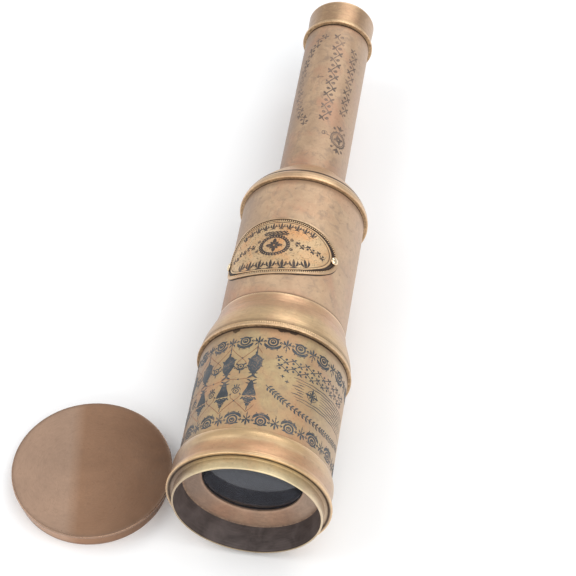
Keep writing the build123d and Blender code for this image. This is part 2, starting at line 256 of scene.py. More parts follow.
    # a darker brown line in the deepest hollows: grime with painted shade
    crevice_dirt_and_shade = math_n(nt, "ADD", attr(nt, "cavity"), math_n(nt, "MULTIPLY", math_n(nt, "SUBTRACT", grain3, 0.5), 0.5))
    col = mix(nt, ramp(nt, crevice_dirt_and_shade, [(0.62, 0.0), (0.92, 0.85 * min(1.0, dirt_and_shade_gain))]), col, sR(62, 48, 40))
    wear = math_n(nt, "MULTIPLY", attr(nt, "edge"), ramp(nt, fine, [(0.3, 0.35), (0.6, 1.0)]), clamp=True)
    col = mix(nt, math_n(nt, "MULTIPLY", wear, edge_gain, clamp=True), col, tuple(min(1, c * 1.28 + 0.04) for c in pale))
    for (c, rr, k) in spots:
        blot = near(nt, P, c, rr)
        edge = math_n(nt, "ADD", blot, math_n(nt, "MULTIPLY", math_n(nt, "SUBTRACT", noise(nt, P, 420, 4, 0.6), 0.5), 0.9))
        col = mix(nt, ramp(nt, edge, [(0.34, 0.0), (0.46, k)]), col, tuple(c2 * 0.32 for c2 in dark))
    nt.links.new(col, b.inputs["Base Color"])
    b.inputs["Metallic"].default_value = metallic
    rg = ramp(nt, math_n(nt, "ADD", math_n(nt, "MULTIPLY", cloud, 0.6), math_n(nt, "MULTIPLY", fine, 0.4)),
              [(0.35, rough[0]), (0.65, rough[1])])
    rg = math_n(nt, "ADD", rg, math_n(nt, "MULTIPLY", dirt_and_shade, 0.25), clamp=True)
    rg = math_n(nt, "SUBTRACT", rg, math_n(nt, "MULTIPLY", wear, 0.10), clamp=True)
    nt.links.new(rg, b.inputs["Roughness"])
    n1 = bump(nt, lines, 0.10 + 0.35 * turned, 0.00006)
    n2 = bump(nt, drawn, 0.10 * grain, 0.00004, n1)
    n3 = bump(nt, fine, 0.16 * grain, 0.00008, n2)
    n4 = bump(nt, cloud2, 0.22 * grain, 0.0005, n3)
    nt.links.new(n4, b.inputs["Normal"])
    b.inputs["Coat Weight"].default_value = 0.12
    b.inputs["Coat Roughness"].default_value = 0.42
    return m


def blackened(name, col=(0.040, 0.030, 0.027), rough=0.62, streak=1.0):
    m, nt, b = new_mat(name)
    P = object_coords(nt)
    x, y, z = split(nt, P)
    ang = math_n(nt, "ARCTAN2", x, z)
    rings = noise(nt, join(nt, math_n(nt, "MULTIPLY", ang, 0.002), math_n(nt, "MULTIPLY", y, 1.0), 0.0), 1800, 3)
    cl = noise(nt, P, 120, 5, 0.6, 0.8)
    c = mix(nt, ramp(nt, cl, [(0.35, 0.0), (0.7, 1.0)]), col, tuple(v * 2.1 for v in col))
    c = mix(nt, ramp(nt, rings, [(0.5, 0.0), (0.8, 0.35 * streak)]), c, tuple(v * 3.2 for v in col))
    nt.links.new(c, b.inputs["Base Color"])
    nt.links.new(ramp(nt, cl, [(0.3, rough - 0.1), (0.7, rough + 0.1)]), b.inputs["Roughness"])
    b.inputs["Metallic"].default_value = 0.0
    nt.links.new(bump(nt, rings, 0.3, 0.00008), b.inputs["Normal"])
    return m


def ink(name, col, wear_col, wear=0.35, rough=0.5):
    """Filled etching: dark stain that has rubbed thin in places."""
    m, nt, b = new_mat(name)
    P = object_coords(nt)
    f = noise(nt, P, 1500, 5, 0.7)
    g = noise(nt, P, 140, 4, 0.6)
    c = mix(nt, ramp(nt, g, [(0.35, 0.0), (0.7, 1.0)]), col, tuple(v * 1.9 for v in col))
    k = math_n(nt, "ADD", f, math_n(nt, "MULTIPLY", math_n(nt, "SUBTRACT", g, 0.5), 0.55))
    c = mix(nt, ramp(nt, k, [(0.54, 0.0), (0.70, wear)]), c, wear_col)
    nt.links.new(c, b.inputs["Base Color"])
    nt.links.new(ramp(nt, f, [(0.3, rough - 0.08), (0.7, rough + 0.15)]), b.inputs["Roughness"])
    b.inputs["Metallic"].default_value = 0.25
    nt.links.new(bump(nt, f, 0.25, 0.00005), b.inputs["Normal"])
    return m


def glass(name, tint, haze=0.2, rough=0.03):
    m, nt, b = new_mat(name)
    P = object_coords(nt)
    smear = noise(nt, P, 90, 5, 0.6, 1.5)
    dust = noise(nt, P, 2600, 2, 0.5)
    c = mix(nt, ramp(nt, dust, [(0.74, 0.0), (0.82, 0.35)]), tint, (0.70, 0.72, 0.74))
    nt.links.new(c, b.inputs["Base Color"])
    nt.links.new(ramp(nt, smear, [(0.35, rough), (0.75, rough + 0.10)]), b.inputs["Roughness"])
    b.inputs["IOR"].default_value = 1.52
    b.inputs["Transmission Weight"].default_value = 1.0 - haze
    b.inputs["Specular IOR Level"].default_value = 0.5
    b.inputs["Specular Tint"].default_value = (0.84, 0.88, 1.0, 1)
    nt.links.new(bump(nt, smear, 0.03, 0.0002), b.inputs["Normal"])
    return m


def sR(a, b, c):
    def f(v):
        v /= 255.0
        return v / 12.92 if v <= 0.04045 else ((v + 0.055) / 1.055) ** 2.4
    return (f(a), f(b), f(c))


DARK = sR(96, 72, 54)


def on_tube(r, deg, s):
    return (r * MM * math.sin(math.radians(deg)), s * MM, r * MM * math.cos(math.radians(deg)))


spots = [(on_tube(27.6, 9, 60.9), (0.0066, 0.0024, 0.0066), 0.95), (on_tube(27.6, 15, 60.6), (0.0036, 0.0017, 0.0036), 0.9),
         (on_tube(27.6, -29, 60.8), (0.0028, 0.0028, 0.0028), 0.8), (on_tube(27.6, 41, 61.0), (0.006, 0.0014, 0.006), 0.7)]
# the brass finishes here carry painted light on the flanks: lighter grey on the right, darker on the left
M_barrel = aged_brass("brass_barrel", sR(174, 148, 113), sR(190, 167, 126), sR(192, 146, 110), DARK, (0.50, 0.66), 0.10, mottle=110, spots=spots, metallic=0.62, speck=0.46, grey=0.50, painted_flank_light=0.75)
M_body = aged_brass("brass_body", sR(192, 160, 130), sR(208, 178, 146), sR(200, 150, 120), DARK, (0.52, 0.66), 0.14, mottle=80, metallic=0.68, grey=0.70, speck=0.42, painted_flank_light=0.70)
M_draw = aged_brass("brass_draw", sR(182, 152, 124), sR(198, 168, 138), sR(190, 142, 116), DARK, (0.50, 0.64), 0.14, mottle=100, metallic=0.68, grey=0.72, speck=0.42, painted_flank_light=0.85)
# on the turned brass the pale stripe on the rear collar's cone (s 62.4 to 69.5) is a painted highlight; the pink stripe
# at s 73 to 78.6 is a copper tint
M_turned = aged_brass("brass_turned", sR(198, 162, 124), sR(214, 180, 138), sR(204, 150, 118), sR(84, 62, 46), (0.32, 0.46), 0.75, mottle=90, metallic=0.78, edge_gain=0.7, grey=0.45, painted_flank_light=0.65,
                      tint_and_highlight_bands=[(62.4, 69.5, 3.0, sR(228, 196, 148), 0.70), (73.0, 78.6, 2.0, sR(214, 162, 126), 0.60), (138.2, 150.0, 1.5, sR(222, 190, 150), 0.70), (236.5, 239.0, 2.0, sR(196, 156, 118), 0.6), (237.5, 247.0, 1.5, sR(176, 140, 110), 0.8)])
# on the bell the narrow pale stripe along the flare's ridge (s 11.4 to 12.4) is a painted highlight; the salmon stripe
# at s 5.6 to 10.2 is a copper tint
M_bell = aged_brass("brass_bell", sR(202, 164, 124), sR(216, 182, 136), sR(210, 154, 114), sR(84, 62, 48), (0.34, 0.48), 0.60, mottle=85, metallic=0.76, edge_gain=0.7, grey=0.40, painted_flank_light=0.90,
                    tint_and_highlight_bands=[(5.6, 10.2, 1.0, sR(214, 160, 122), 0.75), (11.4, 12.4, 0.9, sR(230, 200, 156), 0.85), (13.2, 20.0, 1.0, sR(212, 180, 130), 0.8)])
# the spigot gets painted light on the flanks and painted shade towards its bottom
M_spigot = aged_brass("brass_spigot", sR(212, 190, 148), sR(226, 206, 164), sR(216, 180, 134), sR(96, 72, 48), (0.34, 0.48), 0.60, mottle=110, metallic=0.74, edge_gain=0.25, painted_flank_light=0.95, painted_under_shade=0.85)
M_cell = aged_brass("brass_cell", sR(166, 134, 110), sR(186, 152, 126), sR(170, 128, 104), sR(64, 48, 40), (0.38, 0.50), 1.0, mottle=70, metallic=0.7, edge_gain=0.6, painted_flank_light=0.8)
M_inner = aged_brass("brass_inner", sR(196, 158, 104), sR(214, 178, 124), sR(200, 148, 104), sR(90, 66, 40), (0.34, 0.48), 0.8, mottle=90)
M_rim = aged_brass("brass_plate_rim", sR(186, 156, 122), sR(206, 176, 140), sR(190, 146, 112), sR(80, 60, 44), (0.38, 0.52), 0.05, mottle=150, metallic=0.7, edge_gain=0.5, grey=0.5)
M_plate = aged_brass("brass_plate", sR(202, 168, 126), sR(214, 184, 144), sR(224, 160, 104), sR(88, 64, 44), (0.44, 0.58), 0.05, mottle=170, metallic=0.6, speck=0.8, grain=1.6, grey=0.5)
M_rivet = aged_brass("brass_rivet", sR(232, 206, 170), sR(246, 228, 196), sR(232, 186, 146), sR(100, 76, 50), (0.18, 0.28), 0.1, mottle=200, edge_gain=1.0)
cap_c = (-0.0623, 0.0241)
# the cap's left half is lightened by two painted reflections, one soft and one with a sharp bright edge
M_cap = aged_brass("bronze_cap", sR(116, 88, 68), sR(130, 101, 80), sR(120, 85, 62), sR(74, 52, 36), (0.28, 0.42), 0.45, axis="Z", centre=cap_c, mottle=45, metallic=0.85, edge_gain=0.9, grey=0.25, speck=0.25,
                   painted_reflection_splits=[(0.9885, 0.1512, -0.0500, 0.044, sR(196, 152, 120), 0.85), (0.9885, 0.1512, -0.0640, 0.005, sR(206, 176, 154), 0.55)])
M_capin = aged_brass("brass_cap_inside", sR(196, 164, 104), sR(214, 184, 124), sR(200, 150, 104), sR(90, 66, 40), (0.30, 0.44), 0.8, axis="Z", centre=cap_c, mottle=90)
M_black = blackened("black_paint")
M_hood = blackened("hood_inside", sR(68, 60, 58), 0.46)
M_ink = ink("etch_ink", sR(58, 62, 66), sR(150, 124, 98), 0.75)
M_ink2 = ink("etch_ink_worn", sR(98, 84, 74), sR(168, 136, 108), 0.9)
M_copper = ink("etch_fine", sR(112, 74, 52), sR(186, 146, 108), 0.6)
M_plate_ink_and_shadow = ink("plate_ink_and_edge_shadow", sR(58, 50, 46), sR(150, 118, 88), 0.45)
M_lens = glass("lens_front", sR(146, 148, 156), 0.05)
M_lens2 = glass("lens_inner", sR(222, 232, 240), 0.05)


# ------------------------------------------------------------------ mesh helpers
def fillet(pts, k=5):
    """Closed profile of (r, s) or (r, s, radius): corners with a radius become arcs."""
    out, n = [], len(pts)
    for i, p in enumerate(pts):
        p1 = Vector(p[:2])
        f = p[2] if len(p) > 2 else 0.0
        if f <= 0:
            out.append(tuple(p1))
            continue
        p0, p2 = Vector(pts[i - 1][:2]), Vector(pts[(i + 1) % n][:2])
        a, c = (p0 - p1), (p2 - p1)
        la, lc = a.length, c.length
        a.normalize(); c.normalize()
        ang = math.acos(max(-1, min(1, a.dot(c))))
        t = min(f / math.tan(ang / 2), la * 0.48, lc * 0.48)
        A, B = p1 + a * t, p1 + c * t
        for j in range(k + 1):
            u = j / k
            q = A * (1 - u) ** 2 + p1 * 2 * u * (1 - u) + B * u * u
            out.append(tuple(q))
    return out


def curve_pts(pts, k=6):
    """Catmull-Rom through the points, both ends included."""
    P = [Vector(p) for p in pts]
    P = [2 * P[0] - P[1]] + P + [2 * P[-1] - P[-2]]
    out = []
    for i in range(1, len(P) - 2):
        for j in range(k):
            t = j / k
            a, b, c, d = P[i - 1], P[i], P[i + 1], P[i + 2]
            out.append(tuple(0.5 * ((2 * b) + (c - a) * t + (2 * a - 5 * b + 4 * c - d) * t * t + (3 * b - a - 3 * c + d) * t ** 3)))
    out.append(tuple(P[-2]))
    return out


def dense(pts, step):
    out, n = [], len(pts)
    for i in range(n):
        a, b = Vector(pts[i]), Vector(pts[(i + 1) % n])
        L = (b - a).length
        if L < 1e-6:
            continue
        m = max(1, int(math.ceil(L / step)))
        for j in range(m):
            out.append(tuple(a.lerp(b, j / m)))
    return out


def weights(pts, reach=0.7):
    """How convex or hollow the profile is near each point, for wear, and for grime and painted shade."""
    n = len(pts)
    P = np.array(pts)
    d1 = P - np.roll(P, 1, 0)
    d2 = np.roll(P, -1, 0) - P
    area = np.sum(P[:, 0] * np.roll(P[:, 1], -1) - np.roll(P[:, 0], -1) * P[:, 1])
    turn = np.arctan2(d1[:, 0] * d2[:, 1] - d1[:, 1] * d2[:, 0], (d1 * d2).sum(1)) * (1 if area > 0 else -1)
    dist = np.linalg.norm(P[:, None] - P[None], axis=-1)
    w = (np.exp(-(dist / reach) ** 2) * turn[None]).sum(1)
    return np.clip(w / 1.2, 0, 1), np.clip(-w / 1.2, 0, 1)


def make_object(name, verts, faces, mats, body, replaced=(), fmat=None, edge=None, cavity=None, angle=38.0, recalc=True):
    me = bpy.data.meshes.new(name)
    me.from_pydata(verts, [], faces)
    if recalc:
        bm = bmesh.new()
        bm.from_mesh(me)
        bmesh.ops.recalc_face_normals(bm, faces=bm.faces)
        bm.to_mesh(me)
        bm.free()
    for mt in mats:
        me.materials.append(mt)
    if fmat is not None:
        me.polygons.foreach_set("material_index", fmat)
    for nm, arr in (("edge", edge), ("cavity", cavity)):
        a = me.attributes.new(nm, "FLOAT", "POINT")
        if arr is not None:
            a.data.foreach_set("value", np.asarray(arr, np.float32))
    me.shade_smooth()
    me.set_sharp_from_angle(angle=math.radians(angle))
    me.update()
    o = bpy.data.objects.new(name, me)
    bpy.context.scene.collection.objects.link(o)
    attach(o, body)
    if replaced:
        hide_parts(*replaced)
    return o


def lathe(name, prof, body, slot, mats, node=None, n=256, step=0.7, pick=None, knurl=None, dirt_and_shade=(), place=None, angle=38.0):
    """Solid of revolution. prof is a closed loop of (radius, s) in mm; place maps (r, s, angle) to a point.
    pick(r, s) gives the material index; knurl(r, s, angle) gives a change of radius; the darkening entries are (s,
    reach, amount), or ((r, s), reach, amount), and darken the surface for grime and for painted shade beneath lips and
    in gaps; a negative amount is a place kept lighter."""
    P = dense(prof, step)
    e, c = weights(P)
    for i, (r, s) in enumerate(P):
        if r < 1.5:
            e[i] = c[i] = 0.0
    for (s0, reach, amt) in dirt_and_shade:
        for i, (r, s) in enumerate(P):
            d2 = (s - s0) ** 2 if not isinstance(s0, tuple) else (r - s0[0]) ** 2 + (s - s0[1]) ** 2
            f = amt * math.exp(-d2 / reach ** 2)
            c[i] = max(c[i], f) if amt > 0 else c[i] * (1 + f)
    m = len(P)
    if place is None:
        place = lambda r, s, a: (r * math.sin(a) * MM, s * MM, r * math.cos(a) * MM)
    verts, ed, ca = [], [], []
    for j in range(n):
        a = 2 * PI * j / n
        for i, (r, s) in enumerate(P):
            dr = knurl(r, s, a) if knurl else 0.0
            verts.append(place(r + dr, s, a))
            ed.append(e[i]); ca.append(c[i])
    faces, fm = [], []
    for j in range(n):
        k = (j + 1) % n
        for i in range(m):
            i2 = (i + 1) % m
            faces.append((j * m + i, j * m + i2, k * m + i2, k * m + i))
            mid = ((P[i][0] + P[i2][0]) / 2, (P[i][1] + P[i2][1]) / 2)
            fm.append(pick(*mid) if pick else 0)
    return make_object(name, verts, faces, mats, body, [node] if node else (), fm, ed, ca, angle)


def lens_mesh(name, prof, body, node, mat, n=160, rows=18):
    """Solid with points on the axis: prof runs from axis to axis."""
    verts, faces = [], []
    m = len(prof)
    verts.append((0, prof[0][1] * MM, 0))
    for (r, s) in prof[1:-1]:
        for j in range(n):
            a = 2 * PI * j / n
            verts.append((r * math.sin(a) * MM, s * MM, r * math.cos(a) * MM))
    verts.append((0, prof[-1][1] * MM, 0))
    last = len(verts) - 1
    for j in range(n):
        faces.append((0, 1 + j, 1 + (j + 1) % n))
    for i in range(m - 3):
        b0, b1 = 1 + i * n, 1 + (i + 1) * n
        for j in range(n):
            k = (j + 1) % n
            faces.append((b0 + j, b1 + j, b1 + k, b0 + k))
    b0 = 1 + (m - 3) * n
    for j in range(n):
        faces.append((last, b0 + (j + 1) % n, b0 + j))
    return make_object(name, verts, faces, [mat], body, [node], angle=30)


# ------------------------------------------------------------------ turned pieces
# darkening entries: a thin line at the joint with the bell (s 16), and a strong dark band at s 60 to 61 that is painted
# shade beneath the rear collar's lip over dark patina
lathe("main_barrel_tube", fillet([(26.7, 8.0), (27.6, 8.0, 0.1), (27.6, 63.8, 0.1), (26.7, 63.8)]), "root", "tube_brass",
      [M_barrel, M_black], "main_barrel", pick=lambda r, s: 1 if r < 26.9 else 0,
      dirt_and_shade=[(16.0, 0.25, 0.30), (60.9, 0.7, 1.2), (60.0, 1.2, 0.45)], step=0.6)

bell = fillet([(26.2, 0.0, 0.12), (27.0, 0.0, 0.28), (27.0, 4.3, 0.12), (29.74, 4.3, 0.22), (29.74, 5.4, 0.3)])
bell += curve_pts([(29.5, 5.85), (29.15, 7.0), (28.9, 9.0), (28.9, 11.0), (29.0, 12.8), (28.8, 14.4), (28.2, 15.85)])[1:]
bell += [(27.95, 16.0), (27.6, 16.0), (27.6, 8.0), (26.7, 8.0), (26.7, 22.4), (24.8, 22.4), (24.8, 9.6)]
# darkening entries: the outer part of the lip's front face is darkened as painted shade, the inner part next to the
# spigot is kept lighter, and a thin line marks the joint at s 16
lathe("objective_bell_turned", bell, "root", "turned_brass", [M_bell, M_spigot, M_hood, M_black], "objective_bell", step=0.45,
      pick=lambda r, s: (2 if s < 9.6 and r < 26.3 and s > 0.25 else 3 if (r < 26.75 and s > 9.5) else 1 if s < 4.5 and r < 29.2 else 0),
      dirt_and_shade=[((27.2, 4.3), 0.9, -0.9), ((28.5, 4.3), 0.62, 1.0), (16.0, 0.10, 0.25)])

# darkening entries: a black line at the cell's outer edge is painted shadow in the gap to the hood, and a darker ring
# runs at the inner edge
lathe("objective_cell_turned", fillet([(18.2, 12.3, 0.2), (24.8, 9.6), (24.8, 22.4), (22.0, 22.4), (22.0, 13.2), (18.2, 13.2)]),
      "root", "brushed_brass", [M_cell, M_black], "objective_cell", pick=lambda r, s: 1 if s > 13.0 else 0, step=0.4,
      dirt_and_shade=[((24.8, 9.6), 0.75, 1.2), ((18.2, 12.3), 0.3, 0.7)])

KN = 210


def knurl_collar(r, s, a):
    if r > 28.2 and 62.0 < s < 63.2:
        return -0.12 * (0.5 - 0.5 * math.cos(KN * a)) * min(1, (s - 62.0) / 0.2, (63.2 - s) / 0.25)
    return 0.0


def groove(pts, marks):
    """Fine turned lines: narrow dips in an outline that runs outward along s."""
    out = []
    for (r, s) in pts:
        d = sum(a * math.exp(-((s - s0) / w) ** 2) for (s0, w, a) in marks)
        out.append((r - d, s))
    return out


col = fillet([(27.6, 61.1), (28.65, 61.1, 0.08), (28.85, 61.3, 0.08), (28.85, 61.75, 0.12)])
col += groove(curve_pts([(28.62, 62.15), (28.35, 64.0), (27.8, 67.0), (26.95, 70.0), (25.95, 73.0), (25.0, 76.0), (24.25, 79.7)], 14),
              [(65.6, 0.16, 0.05), (69.4, 0.14, 0.04), (75.4, 0.14, 0.04), (76.9, 0.12, 0.04)])
col += [(24.1, 80.0), (23.9, 80.0), (23.9, 68.0), (26.0, 68.0), (26.0, 63.8), (27.6, 63.8)]
# darkening entries: the lip's front face is darkened as painted shade over dark patina, with a dark line at the end of
# the knurl
lathe("rear_collar_turned", col, "root", "turned_brass", [M_turned, M_black], "rear_collar", n=KN * 5, step=0.45,
      pick=lambda r, s: 1 if (61.15 < s < 63.85 and r < 27.62) or (s < 68.05 and r < 26.05) or r < 23.92 else 0, knurl=knurl_collar,
      dirt_and_shade=[((28.1, 61.1), 0.75, 1.0), (63.35, 0.2, 0.7)])

# darkening entries: the dark band at s 136 is painted shade with grime beneath the draw collar's lip; a dark line at s
# 80 marks the rear collar's end
lathe("body_tube_drawn", fillet([(23.0, 68.0), (23.9, 68.0), (23.9, 141.0), (23.0, 141.0)]), "root", "tube_brass",
      [M_body, M_black], "body_tube", pick=lambda r, s: 1 if r < 23.2 else 0, step=0.55,
      dirt_and_shade=[(80.1, 0.5, 0.85), (136.4, 0.60, 1.1), (135.2, 1.3, 0.35)])

dc = fillet([(23.9, 136.4), (25.15, 136.4, 0.08), (25.35, 136.6, 0.08), (25.35, 137.5, 0.15)])
dc += groove(curve_pts([(25.2, 137.9), (24.8, 139.3), (23.4, 142.0), (21.3, 145.0), (18.9, 148.0), (16.6, 150.6), (15.3, 152.0)], 14),
             [(139.0, 0.14, 0.09), (143.6, 0.12, 0.09), (147.9, 0.12, 0.09)])
dc += [(15.2, 152.2), (13.36, 152.2), (13.36, 151.0), (14.6, 151.0), (14.6, 141.0), (16.0, 141.0), (16.0, 147.7), (17.2, 147.7), (22.4, 141.0), (23.9, 141.0)]
# darkening entries: the lip's front face is darkened as painted shade, with dark lines at the neck end and in the three
# turned grooves
lathe("draw_collar_turned", dc, "root", "turned_brass", [M_turned, M_black], "draw_collar", step=0.45,
      pick=lambda r, s: 1 if (s < 150.9 and r < 17.3 and s > 140.9 and s < 147.8) else 0,
      dirt_and_shade=[((24.5, 136.4), 0.60, 1.0), ((13.4, 152.2), 0.7, 0.9), (139.0, 0.14, 0.5), (143.6, 0.12, 0.5), (147.9, 0.12, 0.5)])

# darkening entries: a dark band at the draw collar's mouth (s 152), painted shade beneath the bead's lip (s 234) and a
# dark line at the eye cup's joint
lathe("draw_tube_drawn", fillet([(12.4, 113.0), (13.3, 113.0, 0.15), (13.3, 236.2), (12.4, 236.2)]), "draw", "tube_brass",
      [M_draw, M_black], "draw_tube", n=192, pick=lambda r, s: 1 if r < 12.6 else 0, step=0.6,
      dirt_and_shade=[(233.9, 0.55, 1.2), (236.2, 0.5, 0.9), (152.3, 0.5, 0.8)])

bead = fillet([(13.3, 234.2), (14.6, 234.2, 0.06), (14.67, 234.3, 0.06), (14.67, 235.2, 0.15), (14.15, 235.8, 0.3), (13.7, 236.2), (13.3, 236.2)])
# darkening entries: the bead's front face is darkened as painted shade, and a dark line marks its rear joint
lathe("eyepiece_bead_turned", bead, "draw", "turned_brass", [M_turned], "eyepiece_bead_ring", n=192, step=0.3,
      dirt_and_shade=[((14.0, 234.2), 0.75, 1.0), (236.2, 0.25, 0.8)])

cup = curve_pts([(5.5, 243.9), (8.2, 244.6), (10.6, 246.0), (12.3, 247.65)])
cup += fillet([(12.5, 247.79), (13.4, 247.79, 0.2), (13.8, 247.1, 0.3), (13.55, 240.0, 0.5), (13.6, 236.2)])
cup += [(12.4, 236.2), (12.4, 229.0), (11.4, 229.0), (11.4, 236.6), (7.1, 236.6), (7.1, 241.8), (5.5, 241.8)]
lathe("eyepiece_cup_turned", cup, "draw", "turned_brass", [M_turned, M_black], "eyepiece_cup", n=192, step=0.4,
      pick=lambda r, s: 1 if (s > 236.3 and r < 12.35 and s < 247.6) or r < 11.9 else 0, dirt_and_shade=[(236.4, 0.35, 0.9), (237.4, 0.15, 0.3), (246.4, 0.2, 0.35)])

sag = lambda r, rho: rho - math.sqrt(rho * rho - r * r)
front = [(21.9 * i / 16, 12.0 + sag(21.9 * i / 16, 130)) for i in range(17)] + \
        [(21.9 * i / 16, 17.5 - sag(21.9 * i / 16, 95)) for i in range(16, -1, -1)]
lens_mesh("front_lens_polished", front, "root", "objective_crown_lens", M_lens)

# ------------------------------------------------------------------ cap
FZ = -29.75


def cap_place(r, s, a):
    return (cap_c[0] + r * math.sin(a) * MM, cap_c[1] + r * math.cos(a) * MM, (FZ + s) * MM)


disc = [(0.02, 7.1), (29.69, 7.1, 0.3), (29.69, 5.95, 0.22), (0.02, 5.95)]
lathe("cap_disc_turned", fillet(disc), "cap", "cap_brass", [M_cap, M_capin], "cap_disc", place=cap_place, step=0.8,
      pick=lambda r, s: 1 if s < 6.0 and r < 27.1 else 0)
skirt = fillet([(27.08, 0.0, 0.25), (28.44, 0.0, 0.25), (28.44, 5.95), (27.08, 5.95)])
lathe("cap_skirt_turned", skirt, "cap", "cap_brass", [M_cap, M_capin], "cap_skirt", place=cap_place, step=0.4,
      pick=lambda r, s: 1 if r < 27.3 else 0, dirt_and_shade=[(5.9, 0.35, 0.9), (4.6, 0.12, 0.35)])


# ------------------------------------------------------------------ etched ornament
class Etch:
    """Thin closed strips wrapped on a tube. Points are (u, s) in mm, u round the tube."""

    def __init__(self, R, h=0.03, d=0.06):
        self.R, self.h, self.d, self.v, self.f, self.k = R, h, d, [], [], 0

    def put(self, p, rr):
        a = p[0] / self.R
        return (rr * math.sin(a) * MM, p[1] * MM, rr * math.cos(a) * MM)

    def ribbon(self, pts, ws, closed=False, step=0.7):
        P, W = [], []
        n = len(pts)
        if not hasattr(ws, "__len__"):
            ws = [ws] * n
        for i in range(n if closed else n - 1):
            a, b = Vector(pts[i]), Vector(pts[(i + 1) % n])
            m = max(1, int((b - a).length / step))
            for j in range(m):
                P.append(a.lerp(b, j / m)); W.append(ws[i] + (ws[(i + 1) % n] - ws[i]) * j / m)
        if not closed:
            P.append(Vector(pts[-1])); W.append(ws[-1])
        N = len(P)
        if N < 2:
            return
        self.k += 1
        top = self.R + self.h + 0.0015 * (self.k % 7)
        bot = self.R - self.d - max(W) ** 2 / (2 * self.R)
        nc = max(1, int(math.ceil(max(W) / 0.45)))
        base = len(self.v)
        for i in range(N):
            if closed:
                t = P[(i + 1) % N] - P[i - 1]
            else:
                t = P[min(N - 1, i + 1)] - P[max(0, i - 1)]
            if t.length < 1e-9:
                t = Vector((1, 0))
            t.normalize()
            nn = Vector((-t.y, t.x)) * max(W[i], 0.012)
            L, Rr = P[i] + nn, P[i] - nn
            self.v += [self.put(L.lerp(Rr, q / nc), top) for q in range(nc + 1)]
            self.v += [self.put(Rr, bot), self.put(L, bot)]
        M = nc + 3
        for i in range(N if closed else N - 1):
            a, b = base + M * i, base + M * ((i + 1) % N)
            for q in range(M):
                q2 = (q + 1) % M
                self.f.append((a + q, a + q2, b + q2, b + q))
        if not closed:
            self.f.append(tuple(base + q for q in reversed(range(M))))
            e = base + M * (N - 1)
            self.f.append(tuple(e + q for q in range(M)))

    def leaf(self, a, b, w, bend=0.0, k=9, power=0.8):
        a, b = Vector(a), Vector(b)
        t = b - a
        nn = Vector((-t.y, t.x)) * bend
        c = (a + b) / 2 + nn
        pts = [a * (1 - x) ** 2 + c * 2 * x * (1 - x) + b * x * x for x in [i / k for i in range(k + 1)]]
        self.ribbon(pts, [w * math.sin(PI * i / k) ** power if 0 < i < k else 0.02 for i in range(k + 1)], step=5)

    def ring(self, c, r, w, k=30):
        self.ribbon([(c[0] + r * math.cos(2 * PI * i / k), c[1] + r * math.sin(2 * PI * i / k)) for i in range(k)], w, True, step=5)

    def arc(self, c, r, w, a0, a1, k=18):
        pts = [(c[0] + r * math.cos(math.radians(a0 + (a1 - a0) * i / k)), c[1] + r * math.sin(math.radians(a0 + (a1 - a0) * i / k))) for i in range(k + 1)]
        self.ribbon(pts, [w * (0.35 + 0.65 * math.sin(PI * i / k)) for i in range(k + 1)], step=5)

    def dot(self, c, r, k=8):
        xs = [-math.cos(PI * i / k) for i in range(k + 1)]
        self.ribbon([(c[0] + r * x, c[1]) for x in xs], [r * math.sqrt(max(0, 1 - x * x)) for x in xs], step=5)

    def curl(self, c, r0, a0, turns, w, hand=1, k=22):
        pts, ws = [], []
        for i in range(k + 1):
            t = i / k
            r = r0 * (1 - 0.78 * t)
            a = math.radians(a0) + hand * turns * 2 * PI * t
            pts.append((c[0] + r * math.cos(a), c[1] + r * math.sin(a)))
            ws.append(w * (0.5 + 0.6 * t))
        self.ribbon(pts, ws, step=5)
        self.dot(pts[-1], w * 1.7)

    def solid(self, rows):
        """Upright shape from (s, half width) rows about a centre line at u given by rows[i][2]."""
        self.ribbon([(r[2], r[0]) for r in rows], [r[1] for r in rows], step=0.6)

    def vine(self, pts, amp, pitch, w, leaf, seed=0):
        """Wavy stem along a path with a curl in every bend and small leaves."""
        P = [Vector(p) for p in curve_pts(pts, 10)]
        L = [0]
        for a, b in zip(P[:-1], P[1:]):
            L.append(L[-1] + (b - a).length)
        tot = L[-1]
        n = max(8, int(tot / 0.35))

        def at(d):
            d = max(0, min(tot, d))
            for i in range(len(P) - 1):
                if L[i + 1] >= d:
                    f = (d - L[i]) / max(1e-9, L[i + 1] - L[i])
                    t = (P[i + 1] - P[i]).normalized()
                    return P[i].lerp(P[i + 1], f), t
            return P[-1], (P[-1] - P[-2]).normalized()
        stem = []
        for i in range(n + 1):
            d = tot * i / n
            p, t = at(d)
            nn = Vector((-t.y, t.x))
            stem.append(p + nn * amp * math.sin(2 * PI * d / pitch))
        self.ribbon(stem, [w * (0.6 + 0.5 * math.sin(PI * i / n)) for i in range(n + 1)], step=5)
        r = random.Random(seed)
        k = 0
        d = pitch / 4
        while d < tot - pitch / 5:
            p, t = at(d)
            nn = Vector((-t.y, t.x))
            sgn = 1 if k % 2 == 0 else -1
            c = p - nn * sgn * amp * 0.35
            a0 = math.degrees(math.atan2((nn * sgn).y, (nn * sgn).x))
            self.curl(c, amp * 1.0, a0, 0.85 + 0.2 * r.random(), w * 0.9, hand=sgn, k=14)
            q = p + nn * sgn * amp * 1.05
            self.leaf(q, q + t * leaf * 1.1 + nn * sgn * leaf * 0.7, leaf * 0.30, 0.15 * sgn, 6)
            self.leaf(q, q - t * leaf * 0.6 + nn * sgn * leaf * 0.8, leaf * 0.22, -0.15 * sgn, 6)
            d += pitch / 2
            k += 1

    def build(self, name, body, mat, slot):
        return make_object(name, self.v, self.f, [mat], body, angle=30)


PITCH = 2 * PI * 27.6 / 17
E = Etch(27.6)
F = Etch(27.6, 0.022, 0.05)


